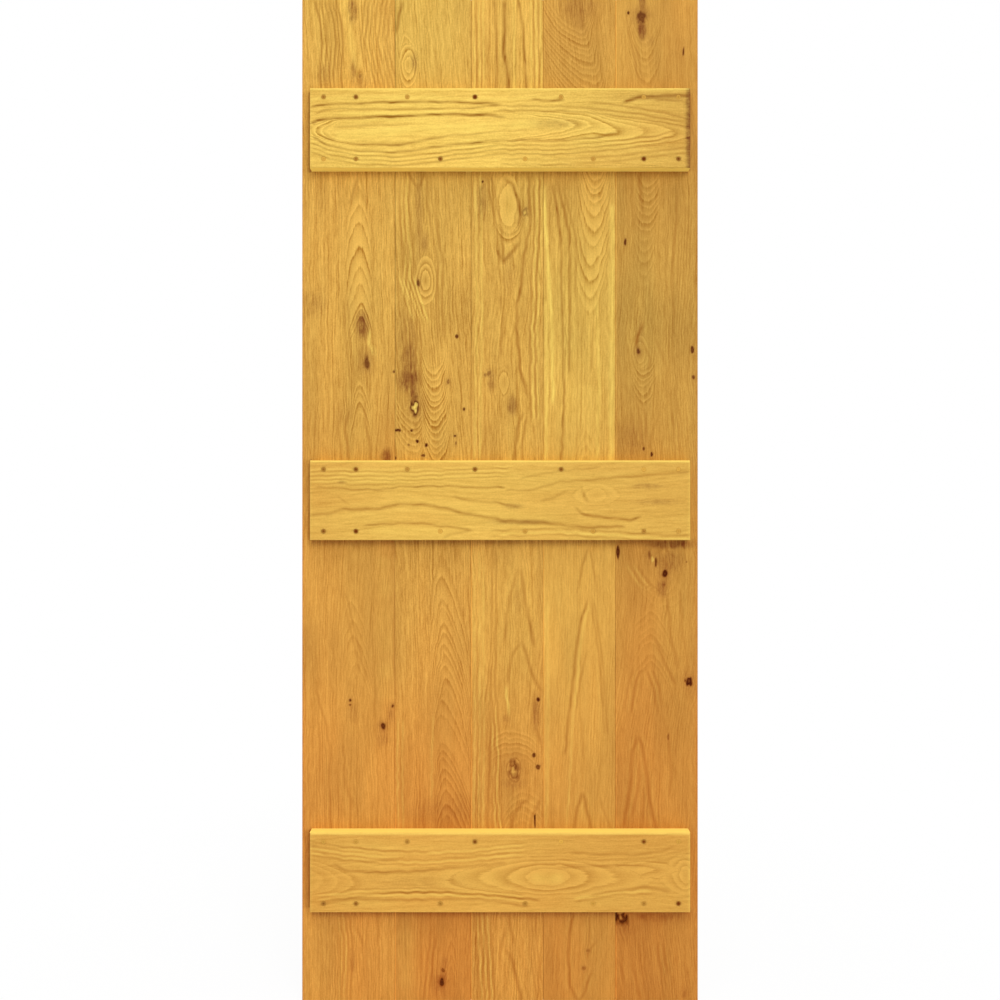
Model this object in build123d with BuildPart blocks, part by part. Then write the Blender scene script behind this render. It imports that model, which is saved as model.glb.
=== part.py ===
# Ledged plank door leaf: five oak boards tongued together side by side and held by three
# ledges across the back. Every ledge is screwed to every board, and an oak plug covers each screw.
# Millimetres. +Z is up, -Y is the ledged side, and the origin is under the middle of the leaf.
import os
from math import radians, tan

from build123d import *

# Leaf
leaf_height = 2032.0
board_thickness = 20.0
board_gap = 0.4  # room between two boards to swell

# Face widths of the boards, from left to right as seen from the ledged side
left_edge_board_width = 188.0
second_board_width = 154.0
middle_board_width = 146.0
fourth_board_width = 146.0
right_edge_board_width = 167.0

# Joints between the boards
tongue_thickness = 6.0
tongue_length = 8.0
tongue_side_clearance = 0.2
tongue_end_clearance = 0.6
joint_bevel = 3.0  # each side of the V groove on the plain face
joint_arris = 0.8  # softened joint edges on the ledged face
leaf_arris = 1.5  # softened outer edges of the leaf

# Ledges
ledge_height = 160.0
ledge_thickness = 24.0
ledge_setback = 20.0  # from the leaf's edge to the ledge's end, so that the leaf shuts on its stop
ledge_end_distance = 270.0  # from the leaf's top or bottom to the middle of the outer ledges
ledge_chamfer = 2.0

# Wood screws, with their heads sunk in the ledges
screw_row_offset = 62.0  # of each row of screws from the ledge's middle
screw_diameter = 4.2
screw_head_diameter = 8.2
screw_head_angle = 90.0  # of the cone under the head, in degrees
screw_head_rim = 0.5
screw_point_length = 5.0
screw_point_cover = 4.0  # board left in front of the screw's point
screw_clearance = 0.05
recess_width = 1.2
recess_span = 4.4
recess_depth = 1.6

# Plugs
plug_diameter = 9.5
plug_length = 10.0
plug_clearance = 0.05

# Places of the screws across each board, as shares of its width, from its left edge
upper_row_shares = [[0.254, 0.599], [0.176], [0.057], [0.237], [0.323, 0.738]]
lower_row_shares = [[0.254, 0.599], [0.606], [0.745], [0.677], [0.323, 0.738]]

# Sizes that follow
board_names = ["left_edge_board", "second_board", "middle_board", "fourth_board", "right_edge_board"]
board_widths = [
    left_edge_board_width,
    second_board_width,
    middle_board_width,
    fourth_board_width,
    right_edge_board_width,
]
leaf_width = sum(board_widths) + board_gap * (len(board_widths) - 1)
leaf_thickness = board_thickness + ledge_thickness
plain_face_y = leaf_thickness / 2
seat_y = plain_face_y - board_thickness
board_middle_y = plain_face_y - board_thickness / 2

ledge_length = leaf_width - 2 * ledge_setback
ledge_middles = {
    "top_ledge": leaf_height - ledge_end_distance,
    "middle_ledge": leaf_height / 2,
    "bottom_ledge": ledge_end_distance,
}

screw_length = ledge_thickness - plug_length + board_thickness - screw_point_cover
screw_head_cone = (screw_head_diameter - screw_diameter) / 2 / tan(radians(screw_head_angle / 2))
pilot_depth = board_thickness - screw_point_cover + screw_clearance

# Planes that look out of the ledged side, with X to the right and Z up
seat_plane = Plane.XZ.offset(-seat_y)
ledge_face_plane = seat_plane.offset(ledge_thickness)
screw_head_plane = ledge_face_plane.offset(-plug_length)

board_lefts = []
next_left = -leaf_width / 2
for width in board_widths:
    board_lefts.append(next_left)
    next_left += width + board_gap


def screws_in_board(index, ledge_middle):
    """Where one ledge's screws enter one board: X across the leaf, Z up it."""
    left, width = board_lefts[index], board_widths[index]
    upper = [(left + share * width, ledge_middle + screw_row_offset) for share in upper_row_shares[index]]
    lower = [(left + share * width, ledge_middle - screw_row_offset) for share in lower_row_shares[index]]
    return upper + lower


def screws_in_ledge(ledge_middle):
    """Where all the screws of one ledge stand."""
    places = []
    for index in range(len(board_names)):
        places += screws_in_board(index, ledge_middle)
    return places


def export_piece(piece, name):
    piece.label = name
    export_step(piece, f"parts/{name}.step")


os.makedirs("parts", exist_ok=True)

# Boards: a section with a tongue on the left and a groove on the right, run up the leaf.
# The two outer edges of the leaf are plain.
for index, name in enumerate(board_names):
    left, width = board_lefts[index], board_widths[index]
    right = left + width
    is_first = index == 0
    is_last = index == len(board_names) - 1
    with BuildPart() as board:
        with BuildSketch(Plane.XY) as section:
            with Locations((left + width / 2, board_middle_y)):
                Rectangle(width, board_thickness)
            left_corners, right_corners = section.vertices().group_by(Axis.X)
            for corners, is_outer in ((left_corners, is_first), (right_corners, is_last)):
                back_corner, plain_corner = corners.sort_by(Axis.Y)
                chamfer(back_corner, leaf_arris if is_outer else joint_arris)
                chamfer(plain_corner, leaf_arris if is_outer else joint_bevel)
            if not is_first:
                with Locations((left, board_middle_y)):
                    Rectangle(tongue_length, tongue_thickness, align=(Align.MAX, Align.CENTER))
            if not is_last:
                groove_depth = tongue_length - board_gap + tongue_end_clearance
                groove_width = tongue_thickness + 2 * tongue_side_clearance
                with Locations((right, board_middle_y)):
                    Rectangle(groove_depth, groove_width, align=(Align.MAX, Align.CENTER), mode=Mode.SUBTRACT)
        extrude(amount=leaf_height)
        for ledge_middle in ledge_middles.values():
            with Locations(seat_plane):
                with Locations(*screws_in_board(index, ledge_middle)):
                    Hole(screw_diameter / 2 + screw_clearance, depth=pilot_depth)
    export_piece(board.part, name)

# One wood screw, its axis on Z and the top of its head at the origin
with BuildPart() as wood_screw:
    with BuildSketch(Plane.XZ):
        with BuildLine():
            Polyline(
                (0, 0),
                (screw_head_diameter / 2, 0),
                (screw_head_diameter / 2, -screw_head_rim),
                (screw_diameter / 2, -screw_head_rim - screw_head_cone),
                (screw_diameter / 2, screw_point_length - screw_length),
                (0, -screw_length),
                close=True,
            )
        make_face()
    revolve(axis=Axis.Z)
    with BuildSketch(Plane.XY):
        Rectangle(recess_span, recess_width)
        Rectangle(recess_width, recess_span)
    extrude(amount=-recess_depth, mode=Mode.SUBTRACT)

# One plug, its axis on Z and its outer end at the origin
with BuildPart() as oak_plug:
    with BuildSketch(Plane.XY):
        Circle(plug_diameter / 2)
    extrude(amount=-plug_length)

# Ledges, each with its own screws and plugs
for name, ledge_middle in ledge_middles.items():
    places = screws_in_ledge(ledge_middle)
    with BuildPart() as ledge:
        with BuildSketch(seat_plane):
            with Locations((0, ledge_middle)):
                Rectangle(ledge_length, ledge_height)
        extrude(amount=ledge_thickness)
        chamfer(ledge.faces().sort_by(Axis.Y)[0].edges(), ledge_chamfer)
        with Locations(ledge_face_plane):
            with Locations(*places):
                CounterBoreHole(
                    screw_diameter / 2 + screw_clearance,
                    plug_diameter / 2 + plug_clearance,
                    plug_length,
                    depth=ledge_thickness,
                )
        with Locations(screw_head_plane.offset(-screw_head_rim)):
            with Locations(*places):
                CounterSinkHole(
                    screw_diameter / 2 + screw_clearance,
                    screw_head_diameter / 2 + screw_clearance,
                    depth=ledge_thickness - plug_length - screw_head_rim,
                    counter_sink_angle=screw_head_angle,
                )
    export_piece(ledge.part, name)

    with BuildPart() as screws:
        with Locations(screw_head_plane):
            with Locations(*places):
                add(wood_screw.part)
    export_piece(screws.part, f"{name}_screws")

    with BuildPart() as plugs:
        with Locations(ledge_face_plane):
            with Locations(*places):
                add(oak_plug.part)
    export_piece(plugs.part, f"{name}_plugs")
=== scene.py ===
import math

import bpy
import numpy as np
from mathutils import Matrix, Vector
from mathutils.geometry import delaunay_2d_cdt


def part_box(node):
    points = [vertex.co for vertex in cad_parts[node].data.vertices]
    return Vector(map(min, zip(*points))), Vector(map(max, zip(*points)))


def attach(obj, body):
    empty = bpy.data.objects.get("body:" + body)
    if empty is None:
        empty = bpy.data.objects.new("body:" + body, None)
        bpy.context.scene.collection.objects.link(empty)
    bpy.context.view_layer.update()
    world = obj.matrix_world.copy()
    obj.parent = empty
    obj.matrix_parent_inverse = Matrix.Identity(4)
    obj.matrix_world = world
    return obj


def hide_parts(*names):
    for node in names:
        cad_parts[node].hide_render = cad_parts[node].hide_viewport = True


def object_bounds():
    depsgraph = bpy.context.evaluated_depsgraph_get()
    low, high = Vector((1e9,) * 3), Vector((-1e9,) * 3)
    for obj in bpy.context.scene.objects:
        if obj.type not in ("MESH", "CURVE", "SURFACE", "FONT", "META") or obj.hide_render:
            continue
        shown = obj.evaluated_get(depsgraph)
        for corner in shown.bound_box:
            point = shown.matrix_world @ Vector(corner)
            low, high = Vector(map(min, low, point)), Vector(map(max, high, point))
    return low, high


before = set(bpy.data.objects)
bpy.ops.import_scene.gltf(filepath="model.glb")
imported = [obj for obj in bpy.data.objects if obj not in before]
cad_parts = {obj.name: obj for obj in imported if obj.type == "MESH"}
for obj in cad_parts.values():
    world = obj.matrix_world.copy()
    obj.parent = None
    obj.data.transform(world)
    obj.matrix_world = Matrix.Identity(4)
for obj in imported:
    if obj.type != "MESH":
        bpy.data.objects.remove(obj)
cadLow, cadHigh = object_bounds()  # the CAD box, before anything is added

# Lengths are in millimetres times mm. Places on the wood are in pixels of the photograph, whose
# height the leaf fills: x to the right and y down from the upper left corner.
mm = 0.001
leafHeight = cadHigh.z - cadLow.z
photoHeight, photoMiddle = 1000, 500
pixel = leafHeight / photoHeight


def photoX(x):
    return photoMiddle + x / pixel


def photoY(z):
    return (cadHigh.z - z) / pixel


# Smooth noise from -1 to 1 on a square lattice
def latticeNoise(a, b, seed):
    table = np.random.default_rng(seed).uniform(-1, 1, (256, 256))
    a0, b0 = np.floor(a).astype(int), np.floor(b).astype(int)
    fa, fb = a - a0, b - b0
    fa, fb = (f * f * f * (f * (6 * f - 15) + 10) for f in (fa, fb))

    def corner(i, j):
        return table[(a0 + i) % 256, (b0 + j) % 256]

    near = corner(0, 0) * (1 - fb) + corner(0, 1) * fb
    far = corner(1, 0) * (1 - fb) + corner(1, 1) * fb
    return near * (1 - fa) + far * fa


# A broken line with its corners rounded off
def bentLine(points, at, soften):
    along = np.arange(-100.0, photoHeight + 101.0)
    line = np.interp(along, *zip(*points))
    window = np.hanning(2 * soften + 1)
    line = np.convolve(np.pad(line, soften, mode="edge"), window / window.sum(), "valid")
    return np.interp(at, along, line)


# A line given by points (x, y), as places across the grain
def followLine(points, along, order, soften):
    turned = [order(p) for p in points]
    return bentLine([(b, a) for a, b in turned], along, soften)


# How far from the middle of an ellipse: 1 on its outline
def ellipse(across, along, middle, size):
    return np.hypot((across - middle[0]) / size[0], (along - middle[1]) / size[1])


# Patches of noise: widths across and along the grain in pixels, and what is added to the wood's seed
patches = dict(ragged=(2.2, 4, 2), waver=(7, 11, 6), bulge=(9, 8, 12), wander=(16, 90, 0), ripple=(5, 34, 1),
               curl=(8, 10, 14), drift=(40, 160, 5), cloud=(22, 65, 7), cloudlet=(9, 50, 4),
               ledgeDrift=(60, 20, 5))


def patch(key, wood, across, along):
    width, length, step = patches[key]
    return latticeNoise(across / width, along / length, wood["seed"] + step)


# Parts of a knot as shares of its size, and how strong they are
knotShape = dict(ragged=0.4, waver=0.3, parting=0.8, partWidth=2.0, partLength=4.2, edge=1.2, edgeFade=0.5,
                 rim=0.25, rimFade=0.4, heart=0.75, heartFade=0.3, heartLift=0.4, haloReach=2.1, hole=0.25,
                 rings=2.5)
# Arches: how far a nest reaches to the sides, as shares of its width, and how wide its dark bands are.
# outerRings go on past its ends, and every nest's rings have numbers of their own.
archShape = dict(reach=1.35, fade=0.5, pointedReach=1.75, pointedFade=0.8, band=0.85, bandRing=0.6, widest=8,
                 widestOnLedge=16, outerRings=9, firstNumber=60, firstEye=400, numbers=40)
lineShape = dict(fade=6, fadeStart=0.3, soften=5, widen=1.25, core=1.2, edge=0.25, edgeWidth=2.6, shake=0.7)


# Rings and marks at points of the wood. across and along are the photograph's x and y in a board, and
# its y and x in a ledge; deep is measured in pixels from the face.
def growWood(wood, across, along, deep, isLedge):
    order = (lambda pair: (pair[1], pair[0])) if isLedge else (lambda pair: pair)
    seed = wood["seed"]
    none = np.zeros_like(across)
    onFace = np.exp(-(deep / 4) ** 2)
    knot, stainAndShade, pale, hollow, own, ownRing = (none.copy() for _ in range(6))
    ragged, waver, bulge = (patch(key, wood, across, along) for key in ("ragged", "waver", "bulge"))
    bent = across + wood["wander"] * patch("wander", wood, across, along)
    bent = bent + 0.5 * patch("ripple", wood, across, along) + 0.7 * patch("curl", wood, across, along)
    s = knotShape
    for k in wood["knots"]:
        middle, size = order(k["at"]), order(k["size"])
        away = ellipse(across, along, middle, size) + s["ragged"] * ragged + s["waver"] * waver
        # The fibres part round a knot as water does round a stone
        reach = ellipse(across, along, middle, (s["partWidth"] * size[0], s["partLength"] * size[1]))
        bent = bent - (across - middle[0]) * s["parting"] * np.exp(-reach**2)
        core = np.clip((s["edge"] - away) / s["edgeFade"], 0, 1)
        rim = np.clip((away - s["rim"]) / s["rimFade"], 0, 1) if "pale" in k else 1.0
        knot = np.maximum(knot, core * k["dark"] * rim)
        heart = np.clip((s["heart"] - away) / s["heartFade"], 0, 1)
        pale = np.maximum(pale, s["heartLift"] * k.get("pale", 0) * heart)
        stainAndShade = np.maximum(stainAndShade, k["halo"] * rim * np.exp(-(away / s["haloReach"]) ** 2))
        hollow = np.maximum(hollow, (k.get("hole", s["hole"]) * mm) * core)
        if k["dark"] > 0:
            own = np.maximum(own, core)
            ownRing = np.where(core > 0, away * s["rings"], ownRing)
    for x, y, sx, sy, amount in wood["stainsAndShade"]:
        away = ellipse(across, along, order((x, y)), order((sx, sy)))
        stainAndShade = np.maximum(stainAndShade, amount * np.exp(-(0.75 * away) ** 3) * (1 + 0.35 * ragged) * onFace)
    ring = (bent - followLine(wood["lean"], along, order, 24) + deep * 0.7) / wood["ring"]
    ring = ring + 0.45 * latticeNoise(ring / 2.3, along / 300, seed + 3) + 40
    ring = ring * (1 - own) + ownRing * own
    arch, inArch = none.copy(), none.copy()
    s = archShape
    for number, (middle, apexes, left, right, strength) in enumerate(wood["arches"]):
        side = across - followLine(middle, along, order, 8) + 0.8 * waver
        width, leg = (np.where(side < 0, left[i], right[i]) for i in (0, 1))
        share = np.abs(side) / width
        steep = np.where(leg > 0, 2.0, 2.4 if isLedge else 1.6 + 0.9 * np.clip(share - 0.8, 0, 1))
        place = along + leg * share**steep + 1.6 * waver + deep * 3
        first, last = apexes[1] - apexes[0], apexes[-1] - apexes[-2]
        crossed, count = [apexes[0] - s["outerRings"] * first], [-s["outerRings"]]
        for i, apex in enumerate(apexes):
            gap = last if i == len(apexes) - 1 else apexes[i + 1] - apex
            crossed += [apex, apex + s["band"] * min(gap, s["widestOnLedge" if isLedge else "widest"])]
            count += [i, i + s["bandRing"]]
        crossed.append(apexes[-1] + s["outerRings"] * last)
        count.append(len(apexes) - 1 + s["outerRings"])
        plain = np.clip((s["reach"] - share) / s["fade"], 0, 1)
        pointed = np.clip((s["pointedReach"] - share) / s["pointedFade"], 0, 1)
        inside = np.where(leg > 0, plain, pointed)
        inside = inside * np.clip((place - apexes[0]) / first + 1.2, 0, 1)
        inside = inside * np.clip((apexes[-1] - place) / last + 1.6, 0, 1)
        nest = np.interp(place, crossed, count) + s["firstNumber"] + s["numbers"] * number
        arch = np.where(inside * strength > inArch, nest, arch)
        inArch = np.maximum(inArch, inside * strength)
    for number, (x, y, sx, sy, gap, reach, strength) in enumerate(wood["eyes"]):
        shape = order((sx, sy))
        warp = 0.07 if isLedge else 0.16
        bulged = across + warp * shape[0] * bulge, along + warp * shape[1] * waver
        away = ellipse(*bulged, order((x, y)), shape)
        if isLedge:  # outer rings stretch along the grain
            longer = shape[1] * (0.75 + 0.25 * np.clip(away, 1, 5))
            away = ellipse(*bulged, order((x, y)), (shape[0], longer))
        inside = np.clip((reach - away) / 0.3, 0, 1) * strength
        rings = np.where(away < 1, away * 0.6 - 0.75, (away - 1) * min(sx, sy) / gap)
        arch = np.where(inside > inArch, rings + s["firstEye"] + s["numbers"] * number, arch)
        inArch = np.maximum(inArch, inside)
    grainAndHighlight = pale.copy()
    s = lineShape
    shake = s["shake"] * latticeNoise(none, along / 8, seed + 8)
    for amount, width, offsets, points in wood["lines"]:
        start, end = order(points[0])[1], order(points[-1])[1]
        fade = np.clip(np.minimum(along - start, end - along) / s["fade"] + s["fadeStart"], 0, 1) * onFace
        before, path, after = (followLine(points, along + i, order, s["soften"]) for i in (-1, 0, 1))
        slope = (after - before) / 2
        for offset in offsets:
            near = (across - path - offset + shake) / np.sqrt(1 + slope**2) / (s["widen"] * width)
            vary = 0.9 + 0.35 * latticeNoise(none + offset, along / 14, seed + 9)
            stroke = s["core"] * np.exp(-(near**2)) - s["edge"] * np.exp(-((near / s["edgeWidth"]) ** 2))
            grainAndHighlight = grainAndHighlight + amount * fade * vary * stroke
    return dict(ring=ring, bold=none + wood["flank"], arch=arch, inArch=inArch * (1 - own), knot=knot,
                stainAndShade=np.clip(stainAndShade, 0, 1), grainAndHighlight=np.clip(grainAndHighlight, -1, 1), hollow=hollow)


# Depth of the grain below the face, in metres: a shallow groove where each ring begins
def grainRelief(fields, depth):
    grooves = []
    straight = fields["bold"] * (1 - fields["inArch"])
    for rings, share in ((fields["ring"], straight), (fields["arch"], fields["inArch"])):
        part = rings % 1.0
        groove = np.exp(-(((part - 0.16) / 0.2) ** 2)) + np.exp(-(((part - 1.16) / 0.2) ** 2))
        grooves.append(groove * share)
    marked = grooves[0] + grooves[1] - fields["grainAndHighlight"].clip(-1, 0)
    return depth * mm * np.clip(marked, 0, 1) + fields["hollow"]


# The third attribute holds knots, stains together with painted shade, and grain lines together with painted
# highlights
attributeParts = dict(figure=("ring", "arch", "inArch"), tone=("warmth", "contrast", "bright"),
                      marksAndShading=("knot", "stainAndShade", "grainAndHighlight"))


# A piece with its wood as attributes of its points, and a flat layout for baking
def newMesh(name, points, faces, fields, uv, material):
    mesh = bpy.data.meshes.new(name)
    mesh.from_pydata(points.tolist(), [], faces)
    attribute = mesh.attributes.new("bold", "FLOAT", "POINT")
    attribute.data.foreach_set("value", fields["bold"].astype(np.float32))
    for label, keys in attributeParts.items():
        values = np.stack([fields[key] for key in keys], 1)
        attribute = mesh.attributes.new(label, "FLOAT_VECTOR", "POINT")
        attribute.data.foreach_set("vector", values.astype(np.float32).ravel())
    layer = mesh.uv_layers.new(name="OFBake")
    layer.uv.foreach_set("vector", np.asarray(uv, np.float32).ravel())
    mesh.shade_smooth()
    mesh.set_sharp_from_angle(angle=math.radians(38))
    mesh.materials.append(material)
    piece = bpy.data.objects.new(name, mesh)
    bpy.context.scene.collection.objects.link(piece)
    return piece


def dress(piece, node):
    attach(piece, "root")
    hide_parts(node)


# One small class for shader maths: an expression on values adds its Math nodes
class Wire:
    def __init__(self, finish, socket):
        self.finish = finish
        self.socket = socket

    def maths(self, operation, *values):
        return self.finish.add("ShaderNodeMath", dict(operation=operation), dict(enumerate(values)))

    def __add__(self, other):
        return self.maths("ADD", self, other)

    def __sub__(self, other):
        return self.maths("SUBTRACT", self, other)

    def __rsub__(self, other):
        return self.maths("SUBTRACT", other, self)

    def __mul__(self, other):
        return self.maths("MULTIPLY", self, other)

    def __truediv__(self, other):
        return self.maths("DIVIDE", self, other)

    def __pow__(self, other):
        return self.maths("POWER", self, other)

    def fraction(self):
        return self.maths("FRACT", self)

    def whole(self):
        return self.maths("FLOOR", self)

    def most(self, other):
        return self.maths("MAXIMUM", self, other)

    def clipped(self):
        return self.finish.add("ShaderNodeClamp", {}, dict(Value=self))

    __radd__ = __add__
    __rmul__ = __mul__


class Finish:
    def __init__(self, owner, shader="Principled BSDF"):
        owner.use_nodes = True
        self.owner = owner
        self.tree = owner.node_tree
        self.shader = self.tree.nodes[shader]

    # Any node: its settings first, then the values or links of its sockets
    def add(self, kind, settings, sockets, output=0):
        node = self.tree.nodes.new(kind)
        for key, value in settings.items():
            setattr(node, key, value)
        self.plug(node, sockets)
        return Wire(self, node.outputs[output])

    def plug(self, node, sockets):
        for key, value in sockets.items():
            if isinstance(value, Wire):
                self.tree.links.new(value.socket, node.inputs[key])
            else:
                node.inputs[key].default_value = value

    def shade(self, **sockets):
        self.plug(self.shader, {key.replace("_", " "): value for key, value in sockets.items()})

    # The camera, mirrors and glass see the second shader, and everything else the first
    def split(self, output, other, share=1.0):
        kinds = ("Camera", "Glossy", "Transmission")
        rays = [self.add("ShaderNodeLightPath", {}, {}, f"Is {kind} Ray") for kind in kinds]
        direct = rays[0].most(rays[1]).most(rays[2]) * share
        plain = Wire(self, self.shader.outputs[0])
        both = self.add("ShaderNodeMixShader", {}, {0: direct, 1: plain, 2: other})
        self.plug(self.tree.nodes[output], dict(Surface=both))

    def parts(self, vector):
        return [self.add("ShaderNodeSeparateXYZ", {}, dict(Vector=vector), i) for i in range(3)]

    def attribute(self, name):
        return self.parts(self.add("ShaderNodeAttribute", dict(attribute_name=name), {}, "Vector"))

    def mix(self, factor, first, second, way="MIX"):
        settings = dict(data_type="RGBA", blend_type=way, clamp_factor=False)
        return self.add("ShaderNodeMix", settings, {0: factor, 6: first, 7: second}, 2)

    def scaled(self, scale, place=None):
        place = place or self.add("ShaderNodeTexCoord", {}, {}, "Object")
        return self.add("ShaderNodeVectorMath", dict(operation="MULTIPLY"), {0: place, 1: scale})

    def noise(self, vector, detail=2.0, roughness=0.55):
        sockets = dict(Vector=vector, Scale=1.0, Detail=detail, Roughness=roughness)
        return self.add("ShaderNodeTexNoise", {}, sockets, "Fac")

    def ramp(self, value, low, high):
        sockets = {"Value": value, "From Min": low, "From Max": high}
        return self.add("ShaderNodeMapRange", dict(clamp=True), sockets)


# A screen colour as the linear one that sockets take
def colour(red, green, blue):
    shares = [v / 255 for v in (red, green, blue)]
    return [s / 12.92 if s < 0.04045 else ((s + 0.055) / 1.055) ** 2.4 for s in shares] + [1.0]


# Oak as sawn and lacquered. Noise scales are per metre along each axis, low along the grain. sway is in
# millimetres, and line, streak, straight and dash are shares of the figure.
oakBoard = dict(name="oakBoard", fibre=(160, 160, 9), pore=(380, 380, 46), drift=(18, 18, 7),
                speck=(420, 420, 300), wave=(70, 70, 38), sway=(9, 0, 0), line=1.0, streak=0.95, straight=0.6,
                dash=0.8, bump=0.4, roughness=0.5)
oakLedge = dict(name="oakLedge", fibre=(12, 160, 160), pore=(42, 380, 380), drift=(9, 18, 18),
                speck=(300, 420, 420), wave=(30, 70, 70), sway=(0, 0, 4), line=1.1, streak=0.6, straight=0.5,
                dash=0.6, bump=0.5, roughness=0.5)
# bright is the colour of pale grain and of the highlights painted on the ledges; the stain colours also give
# painted shade
oakColours = dict(yellowLight=(241, 201, 100), yellowDark=(169, 120, 41),
                  orangeLight=(235, 163, 75), orangeDark=(171, 95, 29),
                  yellowStainAndShade=(116, 68, 32), orangeStainAndShade=(144, 70, 24),
                  yellowShade=(152, 100, 30), orangeShade=(156, 84, 24),
                  yellowRust=(120, 78, 36), orangeRust=(148, 78, 24),
                  knot=(74, 24, 3), bright=(252, 220, 108))
lacquerShine = 0.04  # a dull finish
# How sharply lines begin, the least strength of one, and how far the fibres bend them
ringLines = dict(sharp=2.2, least=0.2, bend=0.25)
archLines = dict(sharp=1.3, least=0.45, bend=0.25, poreBend=0.3, strength=1.3)
middleTone = 0.46  # between the light and the dark colour


def makeOak(oak):
    tone = {key: colour(*value) for key, value in oakColours.items()}
    finish = Finish(bpy.data.materials.new(oak["name"]))
    ring, arch, inArch = finish.attribute("figure")
    bold = finish.add("ShaderNodeAttribute", dict(attribute_name="bold"), {}, "Fac")
    warmth, contrast, bright = finish.attribute("tone")
    knot, stainAndShade, grainAndHighlight = finish.attribute("marksAndShading")
    flow = finish.add("ShaderNodeCombineXYZ", {}, dict(X=ring * 1.8))
    drift = finish.scaled(oak["drift"])
    flow = finish.add("ShaderNodeVectorMath", dict(operation="ADD"), {0: flow, 1: drift})
    fibre = finish.noise(flow, 1.5, 0.5) - 0.5
    # The fibres sway from side to side on their way
    wave = finish.noise(finish.scaled(oak["wave"]), 1.0, 0.5) - 0.5
    sways = {i: wave * (part * mm) for i, part in enumerate(oak["sway"])}
    shift = finish.add("ShaderNodeCombineXYZ", {}, sways)
    here = finish.scaled((1, 1, 1))
    place = finish.add("ShaderNodeVectorMath", dict(operation="ADD"), {0: here, 1: shift})
    straight = finish.noise(finish.scaled(oak["fibre"], place), 2.0, 0.6) - 0.5
    pore = finish.noise(finish.scaled(oak["pore"], place), 1.0, 0.5) - 0.5
    speck = finish.noise(finish.scaled(oak["speck"]), 0.0, 0.5) - 0.5

    # Lines begin quickly and fade through the ring, each ring at its own strength
    def ringLine(wavy, sharp, least):
        since = wavy.fraction()
        number = dict(W=wavy.whole())
        own = finish.add("ShaderNodeTexWhiteNoise", dict(noise_dimensions="1D"), number, "Value")
        line = (1 - since) ** sharp * (since * 5).clipped()
        return line * (least + own * (1 - least)) - (0.4 + 0.4 * least) / (1 + sharp)

    line = ringLine(ring + straight * ringLines["bend"], ringLines["sharp"], ringLines["least"])
    line = line * bold * (1 - inArch).clipped()
    bentArch = arch + straight * archLines["bend"] + pore * archLines["poreBend"]
    nested = ringLine(bentArch, archLines["sharp"], archLines["least"])
    line = line + nested * inArch * archLines["strength"]
    grain = fibre * oak["streak"] + straight * oak["straight"] + pore * oak["dash"]
    figure = line * oak["line"] * (1 + fibre * 1.5) + grain * (1 - inArch * 0.35) + speck * 0.4
    dark = (middleTone + figure * contrast).clipped()
    yellow = finish.mix(dark, tone["yellowLight"], tone["yellowDark"])
    orange = finish.mix(dark, tone["orangeLight"], tone["orangeDark"])
    wood = finish.mix(warmth, yellow, orange)
    level = finish.add("ShaderNodeCombineXYZ", {}, dict(X=bright, Y=bright, Z=bright))
    wood = finish.mix(1.0, wood, level, "MULTIPLY")
    shade = finish.mix(warmth, tone["yellowShade"], tone["orangeShade"])
    wood = finish.mix((0 - grainAndHighlight * (1 - pore * 2.0)).clipped(), wood, shade)
    # Pale grain, and on the ledges the painted highlights, lighten towards the bright colour
    wood = finish.mix((grainAndHighlight * (1.1 - dark * 0.7)).clipped(), wood, tone["bright"])
    # Stains, and the shade painted on the boards round the ledges and on the ledges' undersides, take the
    # stain colour
    stained = finish.mix(warmth, tone["yellowStainAndShade"], tone["orangeStainAndShade"])
    wood = finish.mix((stainAndShade * (0.85 + figure * 0.7)).clipped(), wood, stained)
    # Knots turn from rusty at the rim to nearly black
    knotty = knot * (1 + fibre * 1.2)
    rust = finish.mix(warmth, tone["yellowRust"], tone["orangeRust"])
    wood = finish.mix((knotty * 1.4).clipped(), wood, rust)
    wood = finish.mix((knotty * 2 - 1).clipped(), wood, tone["knot"])
    roughness = oak["roughness"] + dark * 0.14 + knot * 0.15
    height = 0 - line * 0.6 - pore * 0.8 - straight * 0.6 - knot * 0.4
    bump = {"Strength": oak["bump"], "Distance": 0.4 * mm, "Height": height}
    normal = finish.add("ShaderNodeBump", {}, bump)
    finish.shade(Base_Color=wood, Roughness=roughness, Normal=normal)
    finish.shader.inputs["Specular IOR Level"].default_value = lacquerShine
    return finish.owner


# End grain of the plugs. The tone attribute's second part is how dark a plug is, and ring grows to its rim.
plugColours = dict(pale=((228, 180, 82), (204, 152, 62)), deep=((126, 62, 14), (96, 42, 8)))


def makePlug():
    finish = Finish(bpy.data.materials.new("oakPlug"))
    ring = finish.attribute("figure")[0]
    darkness = finish.attribute("tone")[1]
    fleck = finish.noise(finish.scaled((700, 700, 700)), 3.0, 0.6)
    since = (ring + fleck * 0.8).fraction()
    pale, deep = (finish.mix(since, *(colour(*c) for c in plugColours[key])) for key in ("pale", "deep"))
    wood = finish.mix((darkness * (1.2 - ring * ring * 0.38) + (fleck - 0.5) * 0.3).clipped(), pale, deep)
    height = fleck * 0.5 - since * 0.3
    normal = finish.add("ShaderNodeBump", {}, {"Strength": 0.4, "Distance": 0.3 * mm, "Height": height})
    finish.shade(Base_Color=wood, Roughness=0.55 + fleck * 0.15, Normal=normal)
    finish.shader.inputs["Specular IOR Level"].default_value = lacquerShine
    return finish.owner


steelColours = dict(bare=(168, 160, 142), worn=(120, 112, 98))


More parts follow.
